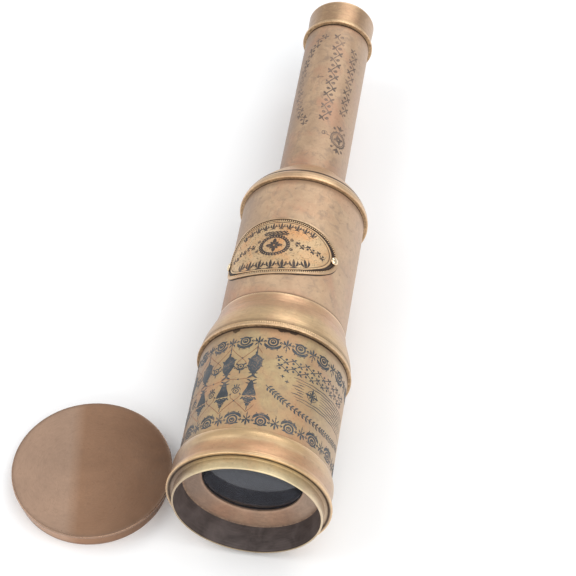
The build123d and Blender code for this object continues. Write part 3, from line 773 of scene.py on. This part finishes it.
class Along(Etch):
    """Draws local (distance, offset) shapes along a path of another etching."""

    def __init__(self, target, pts):
        self.target = target
        self.P = [Vector(p) for p in pts]
        self.L = [0.0]
        for a, b in zip(self.P[:-1], self.P[1:]):
            self.L.append(self.L[-1] + (b - a).length)

    def ribbon(self, pts, ws, closed=False, step=0.7):
        out = []
        for (d, off) in pts:
            d = max(0.0, min(self.L[-1] - 1e-6, d))
            i = max(j for j in range(len(self.L) - 1) if self.L[j] <= d)
            a, b = self.P[i], self.P[i + 1]
            tt = (b - a).normalized()
            out.append(a + tt * (d - self.L[i]) + Vector((-tt.y, tt.x)) * off)
        self.target.ribbon(out, ws, closed, step)


def rinceau(e, length, h, w, wave=1.0):
    """A running stem with two leaves on the outside of every bend and a curl inside it."""
    n = max(2, round(length / (wave * h)))
    p = length / n
    e.ribbon([(p * i / 12, 0.22 * h * math.sin(PI * i / 12)) for i in range(n * 12 + 1)], w * 0.7, step=5)
    for k in range(n):
        sg = 1 if k % 2 == 0 else -1
        c = p * (k + 0.5)
        e.curl((c, -0.20 * h * sg), 0.20 * h, 90 * sg, 1.0, w * 0.8, hand=sg)
        e.leaf((c, 0.20 * h * sg), (c + 0.40 * p, 0.56 * h * sg), w * 1.5, 0.25 * sg)
        e.leaf((c - 0.08 * p, 0.20 * h * sg), (c - 0.42 * p, 0.52 * h * sg), w * 1.4, -0.25 * sg)


def palmettes(e, length, h, w, pitch):
    """A row of three-leaved palmettes each on a small foot, with a dot between them."""
    n = max(1, round(length / pitch))
    p = length / n
    for k in range(n):
        c = p * (k + 0.5)
        e.leaf((c, -0.50 * h), (c, 0.50 * h), w * 1.2)
        for sg in (-1, 1):
            e.leaf((c + 0.08 * h * sg, -0.34 * h), (c + 0.33 * p * sg, 0.30 * h), w * 0.9, -0.30 * sg)
        e.ribbon([(c - 0.26 * p, -0.47 * h), (c, -0.40 * h), (c + 0.26 * p, -0.47 * h)], w * 0.55)
        if k:
            e.dot((c - 0.5 * p, -0.05 * h), w * 0.75, 8)


def rosette(e, u, s, d):
    e.ring((u, s), 1.72, 0.34)
    e.ring((u, s - 0.12 * d), 0.80, 0.24, 20)
    e.dot((u, s + 0.15 * d), 0.42)
    xs = [-3.0, -2.5, -1.8, -1.0, 0, 1.0, 1.8, 2.5, 3.0]
    ys = [0.95, 1.75, 2.30, 2.62, 2.74, 2.62, 2.30, 1.75, 0.95]
    ws = [0.22, 0.52, 0.62, 0.50, 0.44, 0.50, 0.62, 0.52, 0.22]
    e.ribbon([(u + x, s + y * d) for x, y in zip(xs, ys)], ws)
    for k in (-1, 1):
        e.curl((u + 2.75 * k, s - 0.05 * d), 0.62, 90 * d, 0.8, 0.18, hand=-k * d, k=12)
        e.leaf((u + 1.3 * k, s - 1.7 * d), (u + 2.5 * k, s - 1.45 * d), 0.26, 0.3 * k * d)
        e.dot((u + 1.9 * k, s + 3.25 * d), 0.24, 6)
    e.leaf((u - 0.9, s + 3.45 * d), (u + 0.9, s + 3.45 * d), 0.16)


def floret(e, u, s, d, big=1.0):
    b = big
    e.dot((u, s + 0.1 * d), 0.42 * b)
    e.leaf((u, s - 0.1 * d), (u, s - 2.5 * b * d), 0.36 * b)
    for k in (-1, 1):
        e.leaf((u + 0.2 * k, s - 0.2 * d), (u + 1.35 * b * k, s - 1.7 * b * d), 0.30 * b, 0.25 * k * d)
        e.leaf((u + 0.3 * k, s + 0.1 * d), (u + 1.7 * b * k, s - 0.2 * b * d), 0.30 * b, -0.3 * k * d)
        e.leaf((u + 0.2 * k, s + 0.5 * d), (u + 1.15 * b * k, s + 1.8 * b * d), 0.26 * b, -0.25 * k * d)
    e.ribbon([(u, s + 0.3 * d), (u, s + 3.3 * b * d)], [0.13, 0.10])
    e.dot((u, s + 2.3 * b * d), 0.27 * b)


for i in range(17):
    uu = 1.06 + PITCH * i
    rosette(E, uu, 54.5, -1)
    floret(E, uu + PITCH / 2, 54.2, -1)
    ul = 2.0 + PITCH * i
    rosette(E, ul, 19.9, 1)
    floret(E, ul + PITCH / 2, 20.0, 1)


def pod(e, u, j):
    rows = [(49.8, 0.12), (49.3, 0.48), (48.8, 0.34), (48.35, 0.40), (48.0, 0.80), (47.6, 1.35), (46.9, 1.95), (46.1, 2.28), (45.2, 2.42), (44.2, 2.44),
            (43.2, 2.34), (42.4, 2.12), (41.7, 1.80), (41.0, 1.32), (40.4, 0.86), (39.8, 0.55), (39.3, 0.46), (38.9, 0.66), (38.5, 0.30)]
    e.solid([(s, w * (1 + 0.05 * j), u + 0.10 * math.sin(s)) for s, w in rows])
    for k in (-1, 1):
        e.leaf((u + 1.8 * k, 45.3), (u + 2.95 * k, 46.6), 0.36, 0.22 * k)
        e.leaf((u + 1.9 * k, 43.9), (u + 3.0 * k, 43.2), 0.28, -0.2 * k)
        e.leaf((u + 0.2 * k, 39.3), (u + 1.9 * k, 38.1), 0.34, -0.28 * k)
        e.leaf((u + 0.4 * k, 40.3), (u + 1.7 * k, 40.2), 0.24, -0.2 * k)
    e.ribbon([(u, 49.6), (u, 51.4)], [0.20, 0.14])


def tulip(e, u, j):
    rows = [(37.0, 0.14), (36.4, 0.50), (35.8, 0.80), (35.2, 0.98), (34.5, 1.12), (33.8, 1.30), (33.0, 1.62), (32.2, 2.00), (31.4, 2.32), (30.8, 2.46), (30.2, 2.40)]
    e.solid([(s, w, u) for s, w in rows])
    zig = [(-2.4, 29.65), (-1.6, 29.2), (-0.8, 29.7), (0, 29.2), (0.8, 29.7), (1.6, 29.2), (2.4, 29.65)]
    e.ribbon([(u + x, y) for x, y in zig], [0.20, 0.30, 0.24, 0.32, 0.24, 0.30, 0.20])
    e.solid([(29.15, 2.05, u), (28.6, 1.95, u), (28.1, 1.60, u), (27.6, 0.90, u), (27.2, 0.20, u)])
    e.dot((u, 26.35), 0.70)
    e.ribbon([(u, 27.2), (u, 24.0)], [0.18, 0.12])
    for k in (-1, 1):
        e.leaf((u + 0.3 * k, 36.3), (u + 1.9 * k, 37.3), 0.28, 0.25 * k)
        e.leaf((u + 0.3 * k, 35.7), (u + 2.1 * k, 35.9), 0.22, -0.2 * k)
        e.leaf((u + 2.1 * k, 29.6), (u + 3.0 * k, 28.6), 0.30, -0.25 * k)
        e.leaf((u + 0.3 * k, 26.6), (u + 1.35 * k, 27.4), 0.24, 0.2 * k)


def mid_flowers(e, f, u):
    e.ring((u, 43.1), 1.05, 0.20, 20)
    e.dot((u, 43.1), 0.42)
    e.arc((u, 43.5), 1.9, 0.30, 200, 340)
    for k in (-1, 1):
        e.leaf((u + 1.0 * k, 43.6), (u + 2.1 * k, 44.5), 0.32, 0.25 * k)
        e.curl((u + 2.1 * k, 42.7), 0.55, 90, 0.8, 0.13, hand=-k, k=12)
    e.leaf((u, 41.4), (u, 39.9), 0.26)
    e.arc((u, 32.2), 1.75, 0.26, 15, 165)
    e.ring((u, 32.3), 1.0, 0.17, 20)
    e.dot((u, 32.3), 0.36)
    for k in (-1, 0, 1):
        e.leaf((u + 0.6 * k, 34.1), (u + 1.0 * k, 35.4 - 0.25 * abs(k)), 0.24)
    for k in (-1, 1):
        e.leaf((u + 1.5 * k, 31.4), (u + 2.4 * k, 30.6), 0.22, -0.25 * k)


PANEL = (2.0, 53.0)
cols = [-3.9 - PITCH * i for i in range(12)]
for i, u in enumerate(cols):
    pod(E, u, (-1) ** i * 0.5)
    tulip(E, u, 0)
    h = PITCH / 2
    for k in (-1, 1):
        if (i == 0 and k == 1) or (i == 11 and k == -1):
            F.ribbon(curve_pts([(u, 51.7), (u + 1.0, 50.4), (u + 2.0 * k, 49.0)], 4), 0.10)
            F.ribbon(curve_pts([(u, 23.3), (u + 1.4 * k, 24.8), (u + 2.4 * k, 26.4)], 4), 0.10)
            continue
        F.ribbon(curve_pts([(u, 51.9), (u + 2.2 * k, 49.4), (u + h * k, 46.7), (u + (h + 1.5) * k, 45.2), (u + (h + 2.0) * k, 43.9)], 5), 0.11)
        F.ribbon(curve_pts([(u, 23.2), (u + 2.4 * k, 25.6), (u + h * k, 28.1), (u + (h + 1.6) * k, 29.6), (u + (h + 1.7) * k, 31.2)], 5), 0.11)
        F.ribbon(curve_pts([(u, 38.3), (u + 2.4 * k, 37.6), (u + h * k, 37.4)], 4), 0.09)
    if i < 11:
        mid_flowers(E, F, u - h)
        E.dot((u - h, 46.9), 0.30)
        E.dot((u - h, 28.0), 0.30)
        E.dot((u - h, 37.4), 0.34)

# panel: two rows of small scrollwork, ruled water lines round a star, and a swag of leaves
rinceau(Along(E, [(3.0, 47.6), (20.0, 47.6), (38.2, 47.6)]), 35.0, 2.6, 0.21)
rinceau(Along(E, [(3.8, 44.3), (20.0, 44.3), (37.2, 44.3)]), 33.0, 2.6, 0.21)
for q, s in enumerate((41.6, 40.5, 39.4, 38.3, 37.2, 36.1, 35.0, 33.9, 32.8)):
    a0 = 10.6 + 1.1 * (q % 3)
    a1 = 41.5 - 0.9 * (q % 4)
    for lo, hi in ([(a0, 15.4), (22.8, a1)] if 34.2 < s < 40.2 else [(a0, a1)]):
        n = int((hi - lo) / 0.8)
        pts = [(lo + (hi - lo) * i / n, s + 0.10 * math.sin((lo + (hi - lo) * i / n) * 1.1 + q * 2.1)) for i in range(n + 1)]
        F2w = [0.135 * (0.4 + 0.8 * math.sin(PI * i / n)) for i in range(n + 1)]
        E.ribbon(pts, F2w)
cx, cs = 19.1, 37.2
for i in range(8):
    a = PI / 4 * i
    r = 3.0 if i % 2 == 0 else 1.75
    E.leaf((cx + 0.35 * math.cos(a), cs + 0.35 * math.sin(a)), (cx + r * math.cos(a), cs + r * math.sin(a)), 0.42 if i % 2 == 0 else 0.28, 0, 7, 0.7)
E.ring((cx, cs), 2.15, 0.10, 30)
E.dot((cx, cs), 0.5)
swag = [(1.4, 35.4), (7.4, 31.0), (13.6, 28.3), (20.1, 27.2), (27.0, 26.7), (34.5, 27.4), (41.0, 29.0)]
sp = [Vector(p) for p in curve_pts(swag, 12)]
E.ribbon(sp, 0.13)
acc, kk = 0, 0
for a, b in zip(sp[:-1], sp[1:]):
    acc += (b - a).length
    if acc > 1.15:
        acc = 0
        t = (b - a).normalized()
        nn = Vector((-t.y, t.x))
        for sg in (-1, 1):
            E.leaf(b, b + t * 1.05 + nn * sg * (1.15 + 0.3 * (kk % 3 == 0)), 0.33, 0.2 * sg, 6)
        kk += 1
for (u, s) in ((8.5, 38.8), (6.6, 40.6)):
    E.leaf((u - 0.9, s), (u + 0.9, s), 0.22)
    E.leaf((u, s - 0.8), (u, s + 0.8), 0.22)
E.build("barrel_etching", "root", M_ink, "tube_brass")
F.build("barrel_etching_fine", "root", M_copper, "tube_brass")

# ------------------------------------------------------------------ nameplate
PR, PT, PU, PS, PA, PB = 23.9, 0.6, math.radians(-15.1) * 24.2, 102.5, 26.5, 13.7


def plate_pt(u, s, h):
    a = u / 24.2
    r = PR + h
    return (r * math.sin(a) * MM, s * MM, r * math.cos(a) * MM)


def relief(rho):
    """Height above the tube from the middle (0) to the edge (1) of the oval."""
    d = (1 - rho) * PB
    if d < 0.12:
        return 0.46 + 0.12 * math.sqrt(max(0, 1 - (1 - d / 0.12) ** 2))
    if d < 0.70:
        return 0.58
    if d < 0.82:
        return 0.58 - 0.26 * (d - 0.70) / 0.12
    if d < 1.75:
        return 0.32
    if d < 1.88:
        return 0.32 + 0.14 * (d - 1.75) / 0.13
    if d < 2.12:
        return 0.46
    if d < 2.25:
        return 0.46 - 0.08 * (d - 2.12) / 0.13
    return 0.38


NA = 320
rhos = sorted(set([0.06, 0.12, 0.2, 0.28, 0.36, 0.44, 0.52, 0.6, 0.68, 0.74, 0.79] + [1 - x / PB for x in
              (2.6, 2.3, 2.25, 2.18, 2.12, 2.0, 1.88, 1.82, 1.75, 1.6, 1.4, 1.2, 1.0, 0.82, 0.76, 0.70, 0.6, 0.45, 0.3, 0.2, 0.12, 0.09, 0.06, 0.03, 0.0)]))
verts, faces, ed, ca = [plate_pt(PU, PS, relief(0))], [], [0.0], [0.0]
# cavity on the plate: the sunk band and the groove in its border, and its foot on the tube, take the material's grime
# and painted shade
for rho in rhos:
    for j in range(NA):
        t = 2 * PI * j / NA
        verts.append(plate_pt(PU + PA * rho * math.cos(t), PS + PB * rho * math.sin(t), relief(rho)))
        d = (1 - rho) * PB
        ed.append(0.6 if d < 0.60 else 0.5 if 1.9 <= d <= 2.1 else 0.0)
        ca.append(1.0 if 0.72 <= d <= 1.80 else 0.8 if 2.20 < d < 2.35 else 0.0)
for j in range(NA):
    faces.append((0, 1 + j, 1 + (j + 1) % NA))
for i in range(len(rhos) - 1):
    b0, b1 = 1 + i * NA, 1 + (i + 1) * NA
    for j in range(NA):
        k = (j + 1) % NA
        faces.append((b0 + j, b1 + j, b1 + k, b0 + k))
low = len(verts)
for j in range(NA):
    t = 2 * PI * j / NA
    verts.append(plate_pt(PU + PA * math.cos(t), PS + PB * math.sin(t), 0.0)); ed.append(0.0); ca.append(1.0)
b0 = 1 + (len(rhos) - 1) * NA
for j in range(NA):
    k = (j + 1) % NA
    faces.append((b0 + j, low + j, low + k, b0 + k))
inner_ring = len(verts)
lowr = [0.8, 0.6, 0.4, 0.2]
for rho in lowr:
    for j in range(NA):
        t = 2 * PI * j / NA
        verts.append(plate_pt(PU + PA * rho * math.cos(t), PS + PB * rho * math.sin(t), 0.0)); ed.append(0.0); ca.append(0.0)
prev = low
for i in range(len(lowr)):
    cur = inner_ring + i * NA
    for j in range(NA):
        k = (j + 1) % NA
        faces.append((prev + j, cur + j, cur + k, prev + k))
    prev = cur
verts.append(plate_pt(PU, PS, 0.0)); ed.append(0.0); ca.append(0.0)
for j in range(NA):
    faces.append((len(verts) - 1, prev + (j + 1) % NA, prev + j))
fmat = []
for f in faces:
    cu = sum(verts[i][0] for i in f) / len(f), sum(verts[i][1] for i in f) / len(f), sum(verts[i][2] for i in f) / len(f)
    uu, ss = math.atan2(cu[0], cu[2]) * 24.2 - PU, cu[1] / MM - PS
    fmat.append(1 if math.hypot(uu / PA, ss / PB) > 1 - 0.78 / PB else 0)
make_object("nameplate_embossed", verts, faces, [M_plate, M_rim], "root", ["nameplate"], fmat, ed, ca, 50)

# rope of small beads in the plate's border
bv, bf = [], []


def oval_pts(off, count):
    T = np.linspace(0, 2 * PI, 4001)
    a, b = PA - off, PB - off
    x, y = a * np.cos(T), b * np.sin(T)
    L = np.concatenate([[0], np.cumsum(np.hypot(np.diff(x), np.diff(y)))])
    q = np.linspace(0, L[-1], count, endpoint=False)
    tt = np.interp(q, L, T)
    return [(PU + a * math.cos(t), PS + b * math.sin(t), t) for t in tt]


BEADS = 150
for (u, s, t) in oval_pts(1.27, BEADS):
    if abs(abs((u - PU)) - 24.27) < 2.4 and abs(s - PS) < 2.2:
        continue
    base = len(bv)
    nr, nc = 4, 9
    for i in range(nr):
        el = PI / 2 * i / nr
        for j in range(nc):
            aa = 2 * PI * j / nc
            rr = 0.30 * math.cos(el)
            bv.append(plate_pt(u + rr * math.cos(aa), s + rr * math.sin(aa), 0.28 + 0.24 * math.sin(el)))
    bv.append(plate_pt(u, s, 0.52))
    for i in range(nr - 1):
        for j in range(nc):
            k = (j + 1) % nc
            bf.append((base + i * nc + j, base + i * nc + k, base + (i + 1) * nc + k, base + (i + 1) * nc + j))
    for j in range(nc):
        bf.append((base + (nr - 1) * nc + j, base + (nr - 1) * nc + (j + 1) % nc, base + nr * nc))
    bf.append(tuple(base + j for j in reversed(range(nc))))
make_object("nameplate_beading", bv, bf, [M_plate], "root", (), None, [0.55] * len(bv), [0.0] * len(bv), 60)

# dark lines and generic motif on the plate
class PlateEtch(Etch):
    def __init__(self, top, bot):
        super().__init__(24.2)
        self.top, self.bot = top, bot
        self.h, self.d = PR + top - 24.2, 24.2 - PR - bot


Q = PlateEtch(0.415, 0.30)


def oval_line(e, off, w, count=240):
    e.ribbon([(u, s) for (u, s, t) in oval_pts(off, count)], w, True, step=5)


oval_line(Q, 2.42, 0.11)


def oval_arc(off, a0, a1, n=60):
    return [(PU + (PA - off) * math.cos(math.radians(a0 + (a1 - a0) * i / n)), PS + (PB - off) * math.sin(math.radians(a0 + (a1 - a0) * i / n))) for i in range(n + 1)]


# compass star in an oval wreath, in the middle of the plate
c0 = (PU, 102.6)
for i in range(8):
    a = PI / 4 * i + PI / 2
    r = 3.4 if i % 2 == 0 else 2.3
    Q.leaf((c0[0] + 0.3 * math.cos(a), c0[1] + 0.3 * math.sin(a)), (c0[0] + r * math.cos(a), c0[1] + r * math.sin(a)), 0.74 if i % 2 == 0 else 0.50, 0, 7, 0.7)
for rr, w in ((3.95, 0.24), (4.75, 0.16)):
    Q.ribbon([(c0[0] + rr * 1.22 * math.cos(2 * PI * i / 52), c0[1] + rr * math.sin(2 * PI * i / 52)) for i in range(52)], w, True, step=5)
for i in range(30):
    a = 2 * PI * i / 30
    p = Vector((c0[0] + 5.3 * math.cos(a), c0[1] + 4.35 * math.sin(a)))
    tn = Vector((-math.sin(a) * 1.22, math.cos(a))).normalized()
    nn = Vector((tn.y, -tn.x))
    for sg in (-1, 1):
        Q.leaf(p, p + tn * 0.85 + nn * sg * 0.85, 0.36, 0.2 * sg, 5)
for k in (-1, 1):
    for (du, ds) in ((6.6, 2.6), (6.9, -1.9)):
        Q.curl((PU + du * k, c0[1] + ds), 0.80, 90, 1.1, 0.17, hand=k)
for i, (w, s) in enumerate(((4.6, 107.7), (4.9, 108.4), (4.4, 109.1))):
    n = 24
    Q.ribbon([(PU - w + 2 * w * k / n, s + 0.18 * math.sin(k * 1.55 + i)) for k in range(n + 1)], 0.24)
# bands of scrolls and lozenges that run along the arcs, in place of lettering
upper = Along(Q, oval_arc(4.15, 134, 46))
palmettes(upper, upper.L[-1], 3.0, 0.32, 3.2)
lower = Along(Q, oval_arc(4.65, 226, 314))
palmettes(lower, lower.L[-1], 4.4, 0.46, 4.5)
left = Along(Q, [(PU - 20.2, 100.8), (PU - 14.0, 102.6), (PU - 7.8, 103.6)])
rinceau(left, left.L[-1], 2.3, 0.22)
right_ = Along(Q, [(PU + 7.8, 103.6), (PU + 14.0, 102.6), (PU + 20.2, 100.8)])
rinceau(right_, right_.L[-1], 2.3, 0.22)
for k in (-1, 1):
    Q.dot((PU + 21.6 * k, 106.0), 0.34)
    Q.dot((PU + 21.9 * k, 99.0), 0.34)
r = random.Random(4)
for _ in range(560):
    t, q = 2 * PI * r.random(), math.sqrt(r.random()) * 0.80
    u, s = PU + PA * q * math.cos(t), PS + PB * q * math.sin(t)
    a = r.random() * PI
    l = 0.16 + 0.16 * r.random()
    Q.ribbon([(u - l * math.cos(a), s - l * math.sin(a)), (u + l * math.cos(a), s + l * math.sin(a))], 0.035)

# ---- draw tube ornament
D = Etch(13.3, 0.02, 0.05)
row1 = Along(D, [(2.0, 178.6), (2.0, 203.0), (2.0, 228.4)])
rinceau(row1, row1.L[-1], 4.3, 0.32, 0.78)
row2 = Along(D, [(9.6, 184.6), (9.6, 203.0), (9.6, 223.0)])
rinceau(row2, row2.L[-1], 3.5, 0.28, 0.86)
bow = Along(D, curve_pts([(-4.9, 176.6), (-8.6, 182.4), (-11.4, 192.5), (-12.3, 203.5), (-11.3, 214.5), (-8.2, 222.0), (-4.0, 228.2)], 12))
rinceau(bow, bow.L[-1], 3.3, 0.28, 0.82)
D.leaf((-4.6, 203.0), (-1.4, 203.0), 0.30)
D.dot((-3.9, 203.0), 0.62)
mc = (9.5, 171.6)
D.ring(mc, 3.6, 0.34, 40)
D.ring(mc, 2.9, 0.16, 36)
for i in range(8):
    a = PI / 4 * i + PI / 8
    r = 2.5 if i % 2 == 0 else 1.5
    D.leaf((mc[0] + 0.3 * math.cos(a), mc[1] + 0.3 * math.sin(a)), (mc[0] + r * math.cos(a), mc[1] + r * math.sin(a)), 0.56, 0, 7, 0.7)
for i in range(16):
    a = 2 * PI * i / 16
    D.dot((mc[0] + 4.2 * math.cos(a), mc[1] + 4.2 * math.sin(a)), 0.22, 6)
for k in (-1, 1):
    base = (mc[0], mc[1] + 4.6 * k)
    D.leaf(base, (mc[0], mc[1] + 7.4 * k), 0.5, 0, 7, 0.7)
    for sg in (-1, 1):
        D.leaf(base, (mc[0] + 1.9 * sg, mc[1] + 6.6 * k), 0.42, 0.25 * sg * k, 7)
        D.curl((mc[0] + 2.6 * sg, mc[1] + 5.0 * k), 0.7, 90 + 90 * sg, 1.1, 0.2, hand=sg * k)
D.curl((2.9, 172.2), 1.3, 0, 1.2, 0.22, 1)
D.leaf((3.9, 172.0), (5.2, 171.6), 0.3)
D.build("draw_etching", "draw", M_ink2, "tube_brass")

Q.build("nameplate_etching", "root", M_plate_ink_and_shadow, "plate_brass")

# dark line round the plate's edge: grime, with painted shadow where the plate meets the tube
S = Etch(23.9, 0.012, 0.03)
S.ribbon([(u * 23.9 / 24.2, s) for (u, s, t) in oval_pts(-0.14, 260)], [0.26 + 0.09 * math.sin(5 * 2 * PI * i / 260) + 0.05 * math.sin(17 * 2 * PI * i / 260) for i in range(260)], True, step=5)
S.build("nameplate_edge_grime_and_shadow", "root", M_plate_ink_and_shadow, "tube_brass")

# ------------------------------------------------------------------ rivets
# cavity at the foot of each dome: grime and painted shade where the head meets the plate
rv, rf, re, rc = [], [], [], []
for ang in (-15.1 - 57.6, -15.1 + 57.6):
    a = math.radians(ang)
    zx = Vector((math.sin(a), 0, math.cos(a)))
    tx = Vector((math.cos(a), 0, -math.sin(a)))
    ty = Vector((0, 1, 0))
    rows = [(0.7, 22.70), (1.15, 22.55), (1.2, 22.75), (1.2, 22.92), (0.7, 22.94), (0.7, 24.5), (1.62, 24.5), (1.70, 24.56)]
    rows += [(1.70 * math.cos(PI / 2 * i / 9), 24.56 + 0.88 * math.sin(PI / 2 * i / 9)) for i in range(1, 9)]
    base, n = len(rv), 48
    for (q, h) in rows:
        for j in range(n):
            t = 2 * PI * j / n
            p = zx * h + tx * (q * math.cos(t)) + ty * (102.5 + q * math.sin(t))
            rv.append(tuple(p * MM)); re.append(0.4 if h > 24.9 else 0.0); rc.append(1.0 if h < 24.62 else 0.0)
    for i in range(len(rows) - 1):
        for j in range(n):
            k = (j + 1) % n
            rf.append((base + i * n + j, base + i * n + k, base + (i + 1) * n + k, base + (i + 1) * n + j))
    top = len(rv)
    rv.append(tuple((zx * (24.56 + 0.88) + ty * 102.5) * MM)); re.append(0.4); rc.append(0.0)
    for j in range(n):
        rf.append((base + (len(rows) - 1) * n + j, base + (len(rows) - 1) * n + (j + 1) % n, top))
    bot = len(rv)
    rv.append(tuple((zx * 22.62 + ty * 102.5) * MM)); re.append(0.0); rc.append(0.5)
    for j in range(n):
        rf.append((bot, base + (j + 1) % n, base + j))
make_object("nameplate_rivets_domed", rv, rf, [M_rivet], "root", ["nameplate_rivets"], None, re, rc, 40)

# ------------------------------------------------------------------ materials of the carried-over nodes
carried = {
    "objective_flint_lens": M_lens2, "eye_lens": M_lens2, "field_lens": M_lens2, "erector_front_lens": M_lens2, "erector_rear_lens": M_lens2,
    "objective_retaining_ring": M_black, "barrel_baffle": M_black, "eyepiece_field_stop": M_black, "erector_stop": M_black,
    "draw_guide_sleeve": M_inner, "draw_stop_ring": M_inner, "eye_lens_retainer": M_inner, "eyepiece_tube": M_black,
    "field_lens_retainer": M_inner, "erector_tube": M_black, "erector_lens_rings": M_inner,
}
for name, mt in carried.items():
    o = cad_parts[name]
    if len(o.material_slots) == 0:
        o.data.materials.append(mt)
    for sl in o.material_slots:
        sl.material = mt

# ------------------------------------------------------------------ floor and light
fl = bmesh.new()
G = 24
grid = [[fl.verts.new((-1.6 + 3.2 * i / G, -1.6 + 3.2 * j / G, cad_lo.z)) for j in range(G + 1)] for i in range(G + 1)]
for i in range(G):
    for j in range(G):
        fl.faces.new((grid[i][j], grid[i + 1][j], grid[i + 1][j + 1], grid[i][j + 1]))
fm = bpy.data.meshes.new("floor")
fl.to_mesh(fm)
fl.free()
floor = bpy.data.objects.new("floor", fm)
bpy.context.scene.collection.objects.link(floor)
mf, ntf, bf_ = new_mat("floor_pale")
Pf = object_coords(ntf)
ntf.links.new(ramp(ntf, noise(ntf, Pf, 6, 3), [(0.3, (0.90, 0.90, 0.90)), (0.7, (0.93, 0.93, 0.93))]), bf_.inputs["Base Color"])
bf_.inputs["Roughness"].default_value = 0.85
fm.materials.append(mf)

world = bpy.data.worlds.new("studio")
bpy.context.scene.world = world
world.use_nodes = True
wb = world.node_tree.nodes["Background"]
wb.inputs[0].default_value = (0.93, 0.96, 1.0, 1)
wb.inputs[1].default_value = 0.58


def area(name, loc, target, size, power, col=(1, 1, 1)):
    d = bpy.data.lights.new(name, "AREA")
    d.shape = "RECTANGLE"
    d.size, d.size_y = size
    d.energy = power
    d.color = col
    o = bpy.data.objects.new(name, d)
    bpy.context.scene.collection.objects.link(o)
    o.location = loc
    o.rotation_mode = "QUATERNION"
    o.rotation_quaternion = (Vector(target) - Vector(loc)).to_track_quat("-Z", "Y")
    return o


area("key_softbox", (0.62, -0.30, 1.10), (0, 0.1, 0), (1.3, 1.3), 9.6, (1.0, 0.985, 0.96))
area("left_softbox", (-0.85, 0.0, 0.85), (0, 0.1, 0), (1.0, 1.0), 5.0, (1.0, 0.99, 0.97))
area("front_softbox", (0.15, -1.15, 0.65), (0, 0.08, 0), (0.9, 0.5), 4.8)
area("rim_softbox", (0.3, 1.1, 0.8), (0, 0.12, 0), (0.9, 0.4), 3.5, (0.96, 0.98, 1.0))
